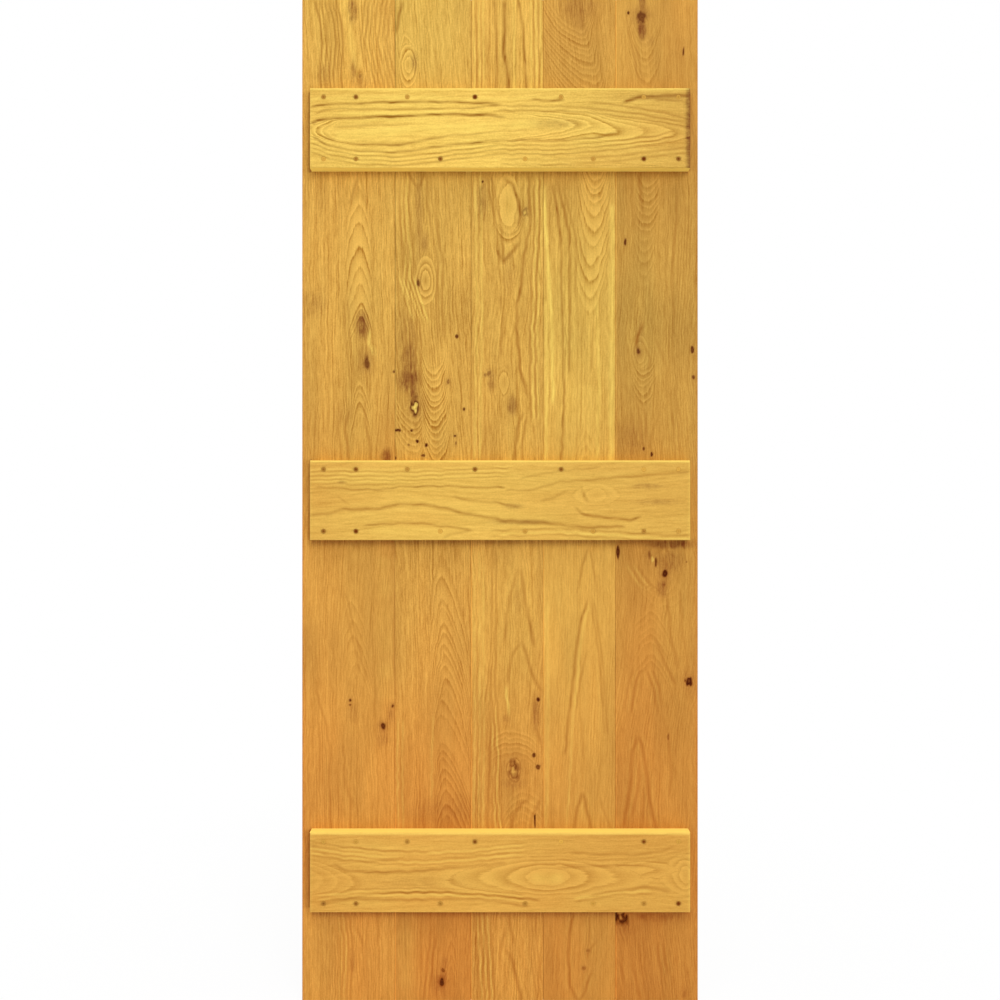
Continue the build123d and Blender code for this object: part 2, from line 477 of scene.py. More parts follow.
def makeSteel():
    finish = Finish(bpy.data.materials.new("screwSteel"))
    brushed = finish.noise(finish.scaled((400, 60, 400)), 3.0, 0.6)
    wear = finish.ramp(brushed, 0.35, 0.7)
    metal = finish.mix(wear, colour(*steelColours["bare"]), colour(*steelColours["worn"]))
    normal = finish.add("ShaderNodeBump", {}, {"Strength": 0.2, "Distance": 0.1 * mm, "Height": brushed})
    finish.shade(Base_Color=metal, Metallic=1.0, Roughness=0.32 + wear * 0.2, Normal=normal)
    return finish.owner


# The five boards, with places in pixels of the photograph. lean is a line that the straight grain follows
# down the board, ring the width of a ring, wander how far it strays and flank how strongly it shows.
# warmth (from yellow to orange), contrast, bright and seamLight (light painted on the left arris, a factor
# that darkens it below 1) hold at toneRows.
# An arch is a nest of U shapes, or of pointed arches where its legs are negative: (middle line, where each
# ring crosses it, (width, leg) to the left, (width, leg) to the right, strength).
# An eye is (x, y, half width and half height of its heart, width of its rings, reach, strength).
# A line is (darker or brighter, width, offsets, points).
# Round a knot lies its halo; pale gives it a light heart, and hole is its depth in millimetres.
# A stain is (x, y, half width, half height, strength); the few under the ledges are painted shade.
leftEdgeBoard = dict(
    lean=[(345, 0), (358, 200), (360, 400), (346, 640), (350, 1000)],
    ring=2.8, wander=2.2, flank=0.6, seed=11, warmth=[0.24, 0.29, 0.65, 0.79, 0.77],
    seamLight=[1.3, 1.3, 1.3, 1.05, 0.9], contrast=[0.86, 0.83, 0.55, 0.58, 0.62],
    bright=[1.12, 0.975, 0.952, 0.955, 0.955],
    arches=[
        ([(359, 180), (360, 245), (362, 316)], [203, 221, 245, 266, 284, 302, 308, 315], (11, -24),
         (8, -20), 1.0),
        ([(360, 380), (361, 420)], [384, 392, 402], (9, -26), (9, -22), 0.9),
        ([(350, 590), (357, 680)], [600, 618, 634, 648, 661], (12, -34), (12, -30), 0.5),
    ],
    eyes=[(327, 76, 2.5, 4, 2.6, 2.4, 0.5)],
    lines=[
        (-0.62, 1.1, [-10.5, -5.5, -1, 3.2, 7, 10.5], [(326, 0), (330, 20), (333.5, 45), (331, 64),
                                                       (332, 92)]),
        (-0.5, 1.0, [0, 4.2, 8.4, 12.6, 17, 21.5, 26], [(366, 0), (363, 20), (361, 42), (365, 62),
                                                        (371, 80), (372, 92)]),
        (0.35, 4.0, [0], [(345, -5), (350, 30), (354, 55), (357, 72)]),
        (-0.7, 1.7, [0], [(358, 178), (354, 193), (350, 205)]),
        (-0.4, 1.0, [0], [(361, 178), (364, 190), (367, 207)]),
        (-0.4, 1.0, [0, -4], [(348, 300), (350, 340), (354, 380)]),
        (0.8, 1.0, [0, 3.2], [(369, 344), (372.5, 350), (373, 356)]),
        (0.6, 1.3, [0], [(370, 330), (369, 346)]),
        (-0.55, 1.3, [0], [(365, 400), (366, 425), (370, 445), (371, 462)]),
        (-0.4, 1.3, [0, 7], [(343, 410), (338, 428), (342, 462)]),
        (-0.3, 1.0, [0, 4], [(340, 588), (347, 612), (356, 650), (360, 672)]),
        (0.12, 9.0, [0], [(386, 556), (387, 660), (386, 700)]),
        (-0.45, 1.0, [0], [(316, 690), (326, 720), (330, 750), (331, 832)]),
        (-0.4, 1.3, [0], [(345, 775), (351, 800), (350, 832)]),
        (-0.4, 1.0, [0, 4.5, 8.5], [(340, 912), (345, 945), (342, 1002)]),
        (-0.5, 1.2, [0], [(357, 926), (364, 946)]), (-0.4, 1.0, [0], [(369, 912), (366, 945), (368, 1002)]),
        (0.2, 1.2, [0, 4.4], [(338, 912), (343, 945), (340, 1002)]),
    ],
    knots=[
        dict(at=(360.5, 77), size=(1.8, 2.4), dark=0.35, halo=0.3),
        dict(at=(357, 75), size=(2.2, 2.2), dark=0.0, halo=0.0, pale=0.8),
        dict(at=(367, 363), size=(3.3, 6.2), dark=0.66, halo=0.6),
        dict(at=(394, 372), size=(1.3, 1.8), dark=0.7, halo=0.1),
        dict(at=(351, 700), size=(1.5, 1.6), dark=0.9, halo=0.2),
        dict(at=(350.5, 704.5), size=(1.5, 1.5), dark=0.8, halo=0.2),
        dict(at=(393, 705.5), size=(1.2, 1.8), dark=0.9, halo=0.6),
        dict(at=(383, 726), size=(2.3, 3.1), dark=0.88, halo=0.7),
    ],
    stainsAndShade=[
        (353, 11, 3.6, 10, 0.65), (353.5, 72, 2.4, 10, 0.5), (362, 82, 6, 6, 0.3), (363, 326, 5, 10, 0.9),
        (387, 456, 4, 6, 0.95), (314, 305, 9, 10, 0.3), (345, 415, 6, 8, 0.15), (325, 75, 6, 7, 0.25),
        (354, 712, 5, 7, 0.25), (383, 738, 5, 7, 0.3), (391, 714, 3, 8, 0.4), (353, 962, 2, 9, 0.35),
    ],
)
secondBoard = dict(
    lean=[(404, 0), (411, 90), (420, 240), (424, 320), (436, 460), (446, 650), (448, 800), (444, 1000)],
    ring=3.0, wander=2.0, flank=0.55, seed=23, warmth=[0.09, 0.23, 0.59, 0.81, 0.96],
    seamLight=[0.75, 0.8, 1.15, 1.15, 1.6], contrast=[0.72, 0.92, 0.78, 0.58, 0.52],
    bright=[1.045, 0.948, 0.942, 0.94, 0.87],
    arches=[
        ([(404, 30), (407, 55)], [37, 43, 49], (5, -8), (10, -14), 1.0),
        ([(433, 370), (437, 465)], [374, 381, 388, 394, 401, 407, 413, 421, 427, 434, 440, 447, 453, 460],
         (11, 20), (12, 19), 1.0),
        ([(416, 410), (415, 470)], [422, 428, 433, 439, 445, 452], (21, 24), (7, 9), 0.7),
        ([(441, 580), (446, 690)], [575, 598, 606, 622, 630, 643, 652, 664, 676], (12, -50), (20, -56),
         0.75),
        ([(440, 700), (446, 815)], [697, 712, 741, 749, 757, 766, 776, 788, 801], (7, -16), (24, -50), 0.7),
        ([(451, 925)], [926, 939, 952], (7, -26), (7, -26), 0.5),
    ],
    eyes=[(408.5, 66, 3.4, 8, 2.9, 3.1, 1.2), (426, 281, 4, 9.5, 3.1, 2.8, 1.3)],
    lines=[
        (-0.9, 1.6, [0], [(402, 1), (399, 18), (397, 34)]),
        (-0.5, 1.3, [0], [(408, 172), (413, 181), (418, 190)]),
        (-0.5, 1.3, [0], [(425, 172), (422, 182), (419, 190)]),
        (-0.35, 1.1, [0, -5, -9], [(410, 178), (409, 215), (413, 250), (411, 292)]),
        (0.4, 1.2, [-2.5, -7], [(410, 178), (409, 215), (413, 250), (411, 292)]),
        (-0.45, 1.1, [0, 5], [(427, 178), (428, 205), (433, 235), (438, 262), (437, 300), (438, 340)]),
        (0.8, 0.9, [-3, 0, 3.4, 7, 11], [(403, 278), (409, 297), (417, 322)]),
        (-0.5, 0.9, [-1.4, 1.7, 5.2, 9], [(403, 278), (409, 297), (417, 322)]),
        (-0.45, 1.3, [0, 5, 10, 15], [(404, 318), (406, 345), (405, 388)]),
        (-0.8, 1.1, [0], [(415.5, 424), (416, 430)]),
        (0.25, 1.0, [0, 5], [(398, 718), (397.5, 760), (398, 832)]),
        (0.2, 1.2, [0], [(433, 715), (432, 760), (432, 800)]),
        (-0.4, 1.0, [0, -5], [(436, 935), (432, 965), (428, 1002)]),
        (0.1, 9.0, [0], [(406, 908), (406, 1006)]),
    ],
    knots=[
        dict(at=(418.5, 284), size=(1.7, 3.2), dark=0.72, halo=0.4),
        dict(at=(415.5, 407), size=(4.8, 8.8), dark=0.8, halo=0.4, pale=2.5),
        dict(at=(448, 382), size=(1.9, 2.5), dark=0.5, halo=0.3),
        dict(at=(457, 337), size=(1.3, 2), dark=0.8, halo=0.1),
        dict(at=(464, 409), size=(1.3, 1.6), dark=0.8, halo=0.1),
        dict(at=(455, 436), size=(1.8, 2), dark=1.0, halo=0.3),
        dict(at=(456, 443), size=(1.3, 2.6), dark=0.5, halo=0.2),
        dict(at=(417.5, 441.5), size=(1.6, 1.9), dark=1.0, halo=0.2),
        dict(at=(426.5, 445), size=(1.3, 1.8), dark=0.9, halo=0.2),
        dict(at=(412, 430.5), size=(1.7, 1.5), dark=0.9, halo=0.2),
        dict(at=(397.5, 430.5), size=(2.9, 1.4), dark=0.9, halo=0.2),
        dict(at=(409, 445), size=(1.2, 1.6), dark=0.6, halo=0.1),
        dict(at=(423, 455.5), size=(1.8, 1.4), dark=0.7, halo=0.2),
        dict(at=(395.8, 458), size=(1, 2), dark=0.7, halo=0.1),
        dict(at=(442, 982), size=(3, 5), dark=1.0, halo=0.95),
        dict(at=(443.5, 969.5), size=(1.8, 2), dark=0.7, halo=0.4),
    ],
    stainsAndShade=[
        (409, 380, 8, 9, 1.0), (409, 362, 6, 16, 0.75), (414, 392, 4, 8, 0.8), (408, 340, 9, 24, 0.36),
        (419.5, 215, 3, 38, 0.3), (424.5, 243, 3, 8, 0.45), (414.5, 63, 2.5, 7, 0.55),
        (445, 812, 26, 12, 0.25), (437, 981, 4, 9, 0.4), (445, 962, 3, 5, 0.4),
    ],
)
middleBoard = dict(
    lean=[
        (507, 0), (508, 260), (512, 300), (506, 345), (510, 460), (519, 572), (522, 643), (514, 742),
        (507, 930), (505, 1000),
    ],
    ring=3.1, wander=2.4, flank=0.55, seed=37, warmth=[0.17, 0.16, 0.46, 0.77, 0.74],
    seamLight=[0.9, 0.95, 1.5, 1.5, 1.5], contrast=[0.78, 0.88, 0.66, 0.62, 0.77],
    bright=[1.1, 0.945, 0.987, 0.91, 0.92],
    arches=[
        ([(509, 225)], [227, 233, 239], (11, 9), (11, 10), 0.9),
        ([(514, 730)], [731, 736, 741, 746, 751], (16, -4), (15, -5), 0.7),
        ([(522, 790), (520, 830)], [790, 797, 804, 812, 820], (14, -12), (16, -8), 0.4),
    ],
    eyes=[
        (507.5, 206, 8, 20, 4, 1.65, 1.2), (503.5, 383, 4.5, 9.5, 3, 1.7, 1.0),
        (514, 769, 6.5, 10, 3, 1.6, 0.8),
    ],
    lines=[
        (-0.9, 1.9, [0], [(504, 2), (505, 30), (504, 55), (508, 75), (509, 93)]),
        (-0.75, 1.3, [0], [(518, 0), (523, 25), (525, 60), (527, 93)]),
        (0.55, 1.2, [0, 5, 9.5], [(531, 0), (532, 93)]), (-0.4, 1.0, [2.5, 7.3], [(531, 0), (532, 93)]),
        (0.4, 1.4, [0], [(514, 0), (515, 93)]), (0.55, 1.2, [0, 5, 9], [(474, 0), (475, 93)]),
        (-0.35, 1.0, [2.5, 7], [(474, 0), (475, 93)]), (-0.5, 1.3, [0], [(494, 0), (497, 40), (496, 93)]),
        (-0.55, 1.3, [0, 4.5], [(486, 176), (492, 205), (497, 235), (500, 264)]),
        (0.15, 4.0, [0], [(504, 188), (509, 205), (506, 224)]),
        (-0.85, 1.5, [0], [(503, 178), (513, 187), (518, 200), (520, 215), (517, 229)]),
        (-0.85, 1.6, [0], [(520, 242), (512, 252), (504, 263)]),
        (-0.6, 1.3, [0], [(495, 248), (500, 256), (504, 263)]),
        (-0.75, 1.4, [0], [(528, 174), (529, 205), (530, 225), (524, 255), (522, 282), (516, 306),
                           (517, 335), (520, 368), (528, 398)]),
        (-0.45, 1.0, [0, 5], [(534, 176), (534, 235), (531, 285), (530, 330), (531, 420)]),
        (0.5, 1.0, [2.4, 7.4], [(534, 176), (534, 235), (531, 285), (530, 330), (531, 420)]),
        (-0.55, 1.5, [0], [(500, 296), (503, 325), (500, 358)]),
        (0.45, 1.3, [0, 5], [(475, 176), (477, 300), (475, 460)]),
        (-0.55, 1.6, [0], [(523, 412), (517, 430), (514, 462)]),
        (-0.5, 1.2, [0], [(527, 416), (522, 440), (522, 462)]),
        (-0.45, 1.3, [0], [(517, 568), (513, 585), (507, 610), (505, 642)]),
        (-0.6, 1.7, [0], [(520, 568), (525, 600), (530, 625), (534, 647)]),
        (-0.45, 1.3, [0], [(521, 642), (511, 656), (508, 684)]),
        (-0.6, 1.4, [0], [(523, 642), (528, 662), (535, 680), (542, 692)]),
        (0.7, 1.3, [0], [(506, 686), (509, 716)]), (-0.6, 1.3, [0], [(534, 724), (541, 743)]),
        (0.35, 1.2, [0, 4.2], [(490, 690), (494, 760), (493, 790), (497, 832)]),
        (-0.35, 1.0, [2.1, 6.3], [(490, 690), (494, 760), (493, 790), (497, 832)]),
        (0.3, 1.2, [0, 5, 9], [(474, 548), (475, 700), (474, 832)]),
        (-0.4, 1.0, [16, 20], [(476, 548), (475, 700), (472, 832)]),
        (-0.6, 1.7, [0], [(531, 797), (520, 804), (514, 815), (510, 832)]),
        (-0.5, 1.4, [0], [(541, 798), (533, 814), (529, 832)]),
        (-0.5, 1.3, [0], [(508, 912), (511, 930), (514, 944)]),
        (-0.5, 1.3, [0], [(505, 928), (501, 945), (499, 962)]),
        (-0.65, 1.5, [0], [(506, 949), (511, 956), (516, 975), (522, 1002)]),
        (-0.4, 1.0, [0, 3.5, 7.5], [(527, 912), (531, 960), (538, 1002)]),
        (-0.3, 1.0, [0, 5, 10, 15], [(474, 912), (477, 950), (480, 1002)]),
        (0.25, 1.1, [2.5, 7.5, 12.5], [(474, 912), (477, 950), (480, 1002)]),
    ],
    knots=[
        dict(at=(525, 214), size=(3.2, 4.6), dark=0.45, halo=0.25, pale=0.9),
        dict(at=(489, 373.5), size=(1.8, 2.2), dark=0.42, halo=0.4),
        dict(at=(485, 375), size=(1.3, 2), dark=0.4, halo=0.2),
        dict(at=(483, 182), size=(1.3, 1.8), dark=0.9, halo=0.2),
        dict(at=(538, 699), size=(1.9, 2.6), dark=1.0, halo=0.3),
        dict(at=(534, 754.5), size=(1.5, 1.8), dark=0.8, halo=0.2),
        dict(at=(538, 766), size=(1.9, 2.1), dark=0.75, halo=0.2),
        dict(at=(514, 768.5), size=(5.4, 8.4), dark=0.62, halo=0.3, pale=0.4),
        dict(at=(535, 821), size=(0.9, 7), dark=1.0, halo=0.1),
    ],
    stainsAndShade=[
        (512, 406, 3.6, 7, 0.75), (536, 712, 3.2, 13, 0.55), (509, 258, 4, 4, 0.3), (491, 382, 3, 8, 0.5),
        (482, 200, 4, 14, 0.4), (509, 275, 5, 14, 0.2), (518, 598, 4, 14, 0.2), (514, 782, 9, 4.5, 0.4),
        (506, 718, 3, 3, 0.3),
    ],
)
fourthBoard = dict(
    lean=[(580, 0), (592, 90), (590, 300), (587, 460), (589, 603), (582, 794), (576, 1000)],
    ring=2.8, wander=1.8, flank=0.5, seed=41, warmth=[0.41, 0.01, 0.36, 0.61, 0.79],
    seamLight=[1.1, 1.0, 1.5, 1.5, 1.0], contrast=[0.7, 0.7, 0.45, 0.45, 0.5],
    bright=[0.955, 1.04, 1.036, 0.94, 0.878],
    arches=[
        ([(581, 30), (590, 60), (597, 92)], [32, 38, 44, 50, 56, 62, 69, 76, 83, 90, 97, 104, 111, 118,
                                             125], (42, 46), (15, 40), 0.68),
        ([(595, 178), (594, 217), (591, 265), (590, 300)], [181, 188, 194, 203, 216, 230, 245, 264, 280,
                                                            297], (15, 34), (14, 34), 0.85),
        ([(586, 425)], [431, 444, 455], (10, -22), (10, -22), 0.4),
    ],
    eyes=[],
    lines=[
        (1.0, 1.6, [0], [(544.6, 186), (545.5, 235), (549, 280), (551.5, 320), (553, 404)]),
        (0.6, 1.4, [0], [(546, 300), (547, 360), (546, 462)]),
        (-0.7, 1.4, [0], [(551, 183), (557, 205), (560, 240), (562, 300), (564, 400), (561, 462)]),
        (-0.7, 1.3, [0], [(556, 180), (564, 208), (569, 235), (570, 300), (569, 375)]),
        (-0.35, 1.1, [0], [(560, 178), (568, 205), (575, 236), (575, 300)]),
        (-0.3, 0.9, [0, 4, 8.5], [(576, 238), (577, 330), (577, 462)]),
        (0.6, 2.2, [0], [(612.3, 205), (612, 300), (611, 462)]),
        (0.4, 1.4, [0], [(596, 300), (599, 380), (597, 462)]), (-0.45, 1.3, [0], [(593, 325), (591, 372)]),
        (0.18, 16, [0], [(582, 384), (582, 430), (582, 464)]),
        (-0.45, 1.2, [0], [(588, 547), (582, 565), (577, 594)]), (-0.4, 1.0, [0], [(590, 549), (597, 594)]),
        (-0.65, 1.3, [0], [(586.5, 600), (581, 622), (576, 650), (571.5, 690), (568, 720), (565, 755)]),
        (-0.45, 1.0, [0, 3], [(590, 600), (595, 625), (599, 655), (601, 690), (605, 734)]),
        (-0.35, 1.0, [0], [(587, 650), (580, 680), (575, 712)]), (-0.3, 1.2, [0], [(582, 715), (583, 760)]),
        (0.25, 1.2, [0], [(588, 605), (580, 650), (573, 720), (566, 832)]),
        (-0.6, 1.5, [0], [(581, 792), (577, 810), (573, 832)]),
        (-0.65, 1.5, [0], [(582.5, 792), (587, 810), (592, 832)]),
        (-0.35, 1.1, [0], [(600, 800), (606, 816), (612, 832)]),
        (0.25, 1.6, [0], [(547, 600), (548, 720), (546, 832)]),
        (-0.65, 1.2, [0], [(574, 912), (570, 930), (568, 960), (570, 985), (577, 1001)]),
        (-0.5, 1.1, [0], [(591, 970), (586, 988), (578, 1001)]),
        (-0.4, 1.2, [0], [(598, 939), (590, 948), (588, 958)]), (-0.35, 1.0, [0], [(590, 914), (589, 945)]),
    ],
    knots=[
        dict(at=(588, 950), size=(1.6, 1.4), dark=0.4, halo=0.2),
        dict(at=(583.5, 967), size=(1.7, 1.8), dark=0.45, halo=0.2),
    ],
    stainsAndShade=[(580, 6, 13, 16, 0.4), (580, 24, 6, 10, 0.3)],
)
rightEdgeBoard = dict(
    lean=[
        (641, 0), (648, 204), (642, 350), (645, 440), (660, 575), (652, 660), (637, 743), (630, 918),
        (640, 1000),
    ],
    ring=2.7, wander=2.2, flank=0.5, seed=59, warmth=[0.47, 0.31, 0.67, 0.91, 0.98],
    seamLight=[1.6, 1.5, 1.1, 1.3, 1.7], contrast=[0.5, 0.7, 0.53, 0.53, 0.58],
    bright=[0.946, 0.79, 0.9, 0.845, 0.808],
    arches=[
        ([(644, 42), (647, 90)], [44, 51, 58, 66, 74, 82, 91], (17, 40), (17, 38), 0.6),
        ([(648, 180), (644, 232)], [187, 194, 201, 208, 215, 223, 231], (9, 9), (11, 11), 0.8),
        ([(644, 240)], [242, 252, 263, 276], (10, 20), (10, 20), 0.5),
        ([(643, 372)], [375, 381, 387, 393, 400], (9, 11), (10, 12), 0.9),
        ([(650, 600), (651, 650)], [610, 617, 626, 633, 641, 653, 660], (13, -12), (17, -24), 0.42),
    ],
    eyes=[(664, 572, 9, 12, 5.5, 3.2, 0.3), (640, 352, 5, 10, 3.2, 2, 0.7)],
    lines=[
        (-0.4, 1.1, [0, 4], [(628, 30), (633, 55), (639, 84)]),
        (0.2, 1.1, [0, 7], [(627, 564), (633, 577), (641, 586), (652, 592)]),
        (-0.25, 1.1, [3.5, 11], [(627, 564), (633, 577), (641, 586), (652, 592)]),
        (-0.4, 1.1, [0, -7], [(640, 668), (634, 688), (631, 712)]),
        (-0.4, 1.1, [0, 6], [(645, 668), (652, 684), (656, 706)]),
        (-0.35, 1.1, [0], [(679, 590), (682, 630), (688, 668)]),
        (-0.7, 1.4, [0], [(639, 174), (640, 195), (643, 214)]),
        (-0.95, 1.7, [0], [(642, 324), (637, 338), (637, 350)]),
        (-0.5, 1.2, [0], [(643, 345), (650, 358), (648, 371)]),
        (-0.4, 1.2, [0], [(655, 338), (661, 352), (664, 364)]),
        (-0.35, 1.1, [0], [(678, 195), (674, 240), (671, 270), (674, 322)]),
        (-0.35, 1.1, [0, 5], [(634, 395), (640, 420), (641, 440)]),
        (-0.35, 1.0, [0, 4, 8], [(668, 400), (674, 430), (675, 462)]),
        (-0.5, 1.3, [0], [(667, 598), (671, 640), (678, 668)]),
        (-0.5, 1.4, [0], [(656, 640), (663, 660), (675, 684)]),
        (-0.5, 1.4, [0], [(637, 736), (632, 752), (630, 790), (626, 810), (624, 826)]),
        (-0.55, 1.4, [0], [(639, 736), (645, 760), (650, 800), (657, 832)]),
        (-0.35, 1.2, [0], [(640, 760), (638, 790), (632, 816)]),
        (-0.35, 1.1, [0], [(668, 740), (671, 765), (670, 795)]), (-0.4, 1.2, [0], [(619, 958), (623, 982)]),
        (-0.4, 1.2, [0], [(632, 966), (640, 998)]), (-0.45, 1.2, [0, -6], [(663, 942), (667, 974)]),
    ],
    knots=[
        dict(at=(641.5, 18), size=(4.4, 4.8), dark=0.7, halo=0.7),
        dict(at=(628, 14), size=(1.5, 2.4), dark=0.9, halo=0.2),
        dict(at=(683, 52), size=(0.7, 4.5), dark=0.9, halo=0.1),
        dict(at=(625, 243), size=(1.2, 3.8), dark=0.8, halo=0.2),
        dict(at=(638, 352), size=(2.0, 3.1), dark=0.8, halo=0.6),
        dict(at=(692, 350), size=(1.4, 3.6), dark=0.78, halo=0.1),
        dict(at=(693, 378), size=(1.3, 2.6), dark=0.7, halo=0.1),
        dict(at=(643.5, 449), size=(1.4, 2.6), dark=0.8, halo=0.2),
        dict(at=(651.5, 454), size=(2, 2.6), dark=0.95, halo=0.2),
        dict(at=(617.8, 551), size=(1.3, 6), dark=1.0, halo=0.1, hole=1.5),
        dict(at=(664.5, 574), size=(2.8, 4.2), dark=1.0, halo=0.8),
        dict(at=(649, 555), size=(1.5, 4), dark=0.6, halo=0.3),
        dict(at=(655.5, 563), size=(1.1, 4.6), dark=0.8, halo=0.2),
        dict(at=(652.5, 559), size=(1.7, 4.2), dark=0.0, halo=0.0, pale=1.6),
        dict(at=(658, 568), size=(0.9, 6), dark=0.0, halo=0.0, pale=0.7),
        dict(at=(686, 562), size=(1.1, 1.6), dark=0.6, halo=0.1),
        dict(at=(688.5, 681), size=(3.5, 5.2), dark=1.0, halo=0.4),
        dict(at=(668, 737), size=(1, 3.4), dark=0.6, halo=0.1),
        dict(at=(621, 917), size=(6.4, 7.5), dark=1.0, halo=0.5, pale=0.2, hole=5),
        dict(at=(684, 992), size=(3, 4), dark=0.3, halo=0.2),
    ],
    stainsAndShade=[
        (642, 4, 3, 14, 0.75), (642, 30, 3.4, 9, 1.0), (649, 42, 4, 4, 0.25), (640, 334, 3, 12, 0.3),
        # The stains at (670, 543.5), (642, 915) and (660, 913) are painted shade under the middle and bottom
        # ledges
        (631, 440, 12, 14, 0.32), (669, 562, 10, 10, 0.48), (670, 543.5, 18, 4, 0.9),
        (662, 587, 4, 7, 0.75), (642, 915, 5, 3, 0.7), (660, 913, 26, 6, 0.6), (624, 929, 9, 5, 0.3),
        (641, 846, 20, 8, 0.15),
    ],
)
boards = dict(left_edge_board=leftEdgeBoard, second_board=secondBoard, middle_board=middleBoard,
              fourth_board=fourthBoard, right_edge_board=rightEdgeBoard)
toneRows = [45, 320, 625, 760, 960]

# Section of a board, as in the CAD: tongue on the left, groove on the right, V joint on the plain face
boardShape = dict(frontStep=1.7, backStep=5.0, edgeStep=4.0, arris=0.8, outerArris=1.5, bevel=3.0,
                  tongueLength=8.0, tongueThickness=6.0, grooveDepth=8.2, grooveWidth=6.4,
                  endArris=1.0, capStep=2.5, relief=0.16, warmEdge=9.0, seamWidth=0.9, seamDepth=1.6)
rowSteps = dict(plain=2.3, nearKnot=0.8)  # in pixels
# How far the shade painted round the ledges reaches, in pixels
paintedShadeShape = dict(above=2, gap=2.3, sideReach=1.6, wideReach=8, endReach=3)  # in pixels
boardUv = dict(body=0.94, topCap=0.005, bottomCap=0.035, capHeight=0.024)  # shares of the bake's height


# Points round a board's section, close together on the ledged face
def boardSection(low, high, isFirst, isLast):
    s = {key: value * mm for key, value in boardShape.items()}
    left = low.x if isFirst else low.x + s["tongueLength"]
    right, front, back = high.x, low.y, high.y
    middle = (front + back) / 2
    soft = [s["outerArris"] if outer else s["arris"] for outer in (isFirst, isLast)]
    bevel = [s["outerArris"] if outer else s["bevel"] for outer in (isFirst, isLast)]
    corners = [(left + soft[0], front), (right - soft[1], front), (right, front + soft[1])]
    if not isLast:
        inner, half = right - s["grooveDepth"], s["grooveWidth"] / 2
        corners += [(right, middle - half), (inner, middle - half)]
        corners += [(inner, middle + half), (right, middle + half)]
    corners += [(right, back - bevel[1]), (right - bevel[1], back)]
    corners += [(left + bevel[0], back), (left, back - bevel[0])]
    if not isFirst:
        outer, half = left - s["tongueLength"], s["tongueThickness"] / 2
        corners += [(left, middle + half), (outer, middle + half)]
        corners += [(outer, middle - half), (left, middle - half)]
    corners += [(left, front + soft[0])]
    points = []
    for start, end in zip(corners, corners[1:] + corners[:1]):
        isFront = start[1] == end[1] == front
        isBack = start[1] == end[1] == back
        step = s["frontStep"] if isFront else s["backStep"] if isBack else s["edgeStep"]
        count = max(1, round(math.dist(start, end) / step))
        for i in range(count):
            share = i / count
            points.append([start[0] + (end[0] - start[0]) * share, start[1] + (end[1] - start[1]) * share])
    return np.array(points)


# Heights of the rows of points, closer together at the knots
def boardRows(wood):
    rows = [0.0]
    while rows[-1] < photoHeight:
        near = any(abs(rows[-1] - k["at"][1]) < k["size"][1] * 1.5 + 1.5 for k in wood["knots"])
        rows.append(rows[-1] + (rowSteps["nearKnot"] if near else rowSteps["plain"]))
    rows = np.array(rows) * (photoHeight / rows[-1])
    end = boardShape["endArris"] * mm / pixel
    return np.unique(np.concatenate([rows, [end, photoHeight - end]]))


# The end of a board, filled with small faces: new points, and faces that share the section's points
def capFaces(outline, firstRow, size, isTop, left, right):
    step = boardShape["capStep"] * mm
    low, high = outline.min(0) + step, outline.max(0) - step
    xs = np.arange(left + step, right - step, step)
    ys = np.arange(low[1], high[1] + step / 2, step)
    inner = np.array([(x, y) for x in xs for y in ys])
    flat = [Vector(p) for p in np.concatenate([outline, inner])]
    edges = [(i, (i + 1) % len(outline)) for i in range(len(outline))]
    verts, _, faces, sources, _, _ = delaunay_2d_cdt(flat, edges, [], 1, 1e-8)
    ids, added = [], []
    for place, source in zip(verts, sources):
        if source and source[0] < len(outline):
            ids.append(firstRow + source[0])
        else:
            ids.append(size + len(added))
            added.append(tuple(place))
    turned = [[ids[i] for i in (f if isTop else reversed(f))] for f in faces]
    return added, turned


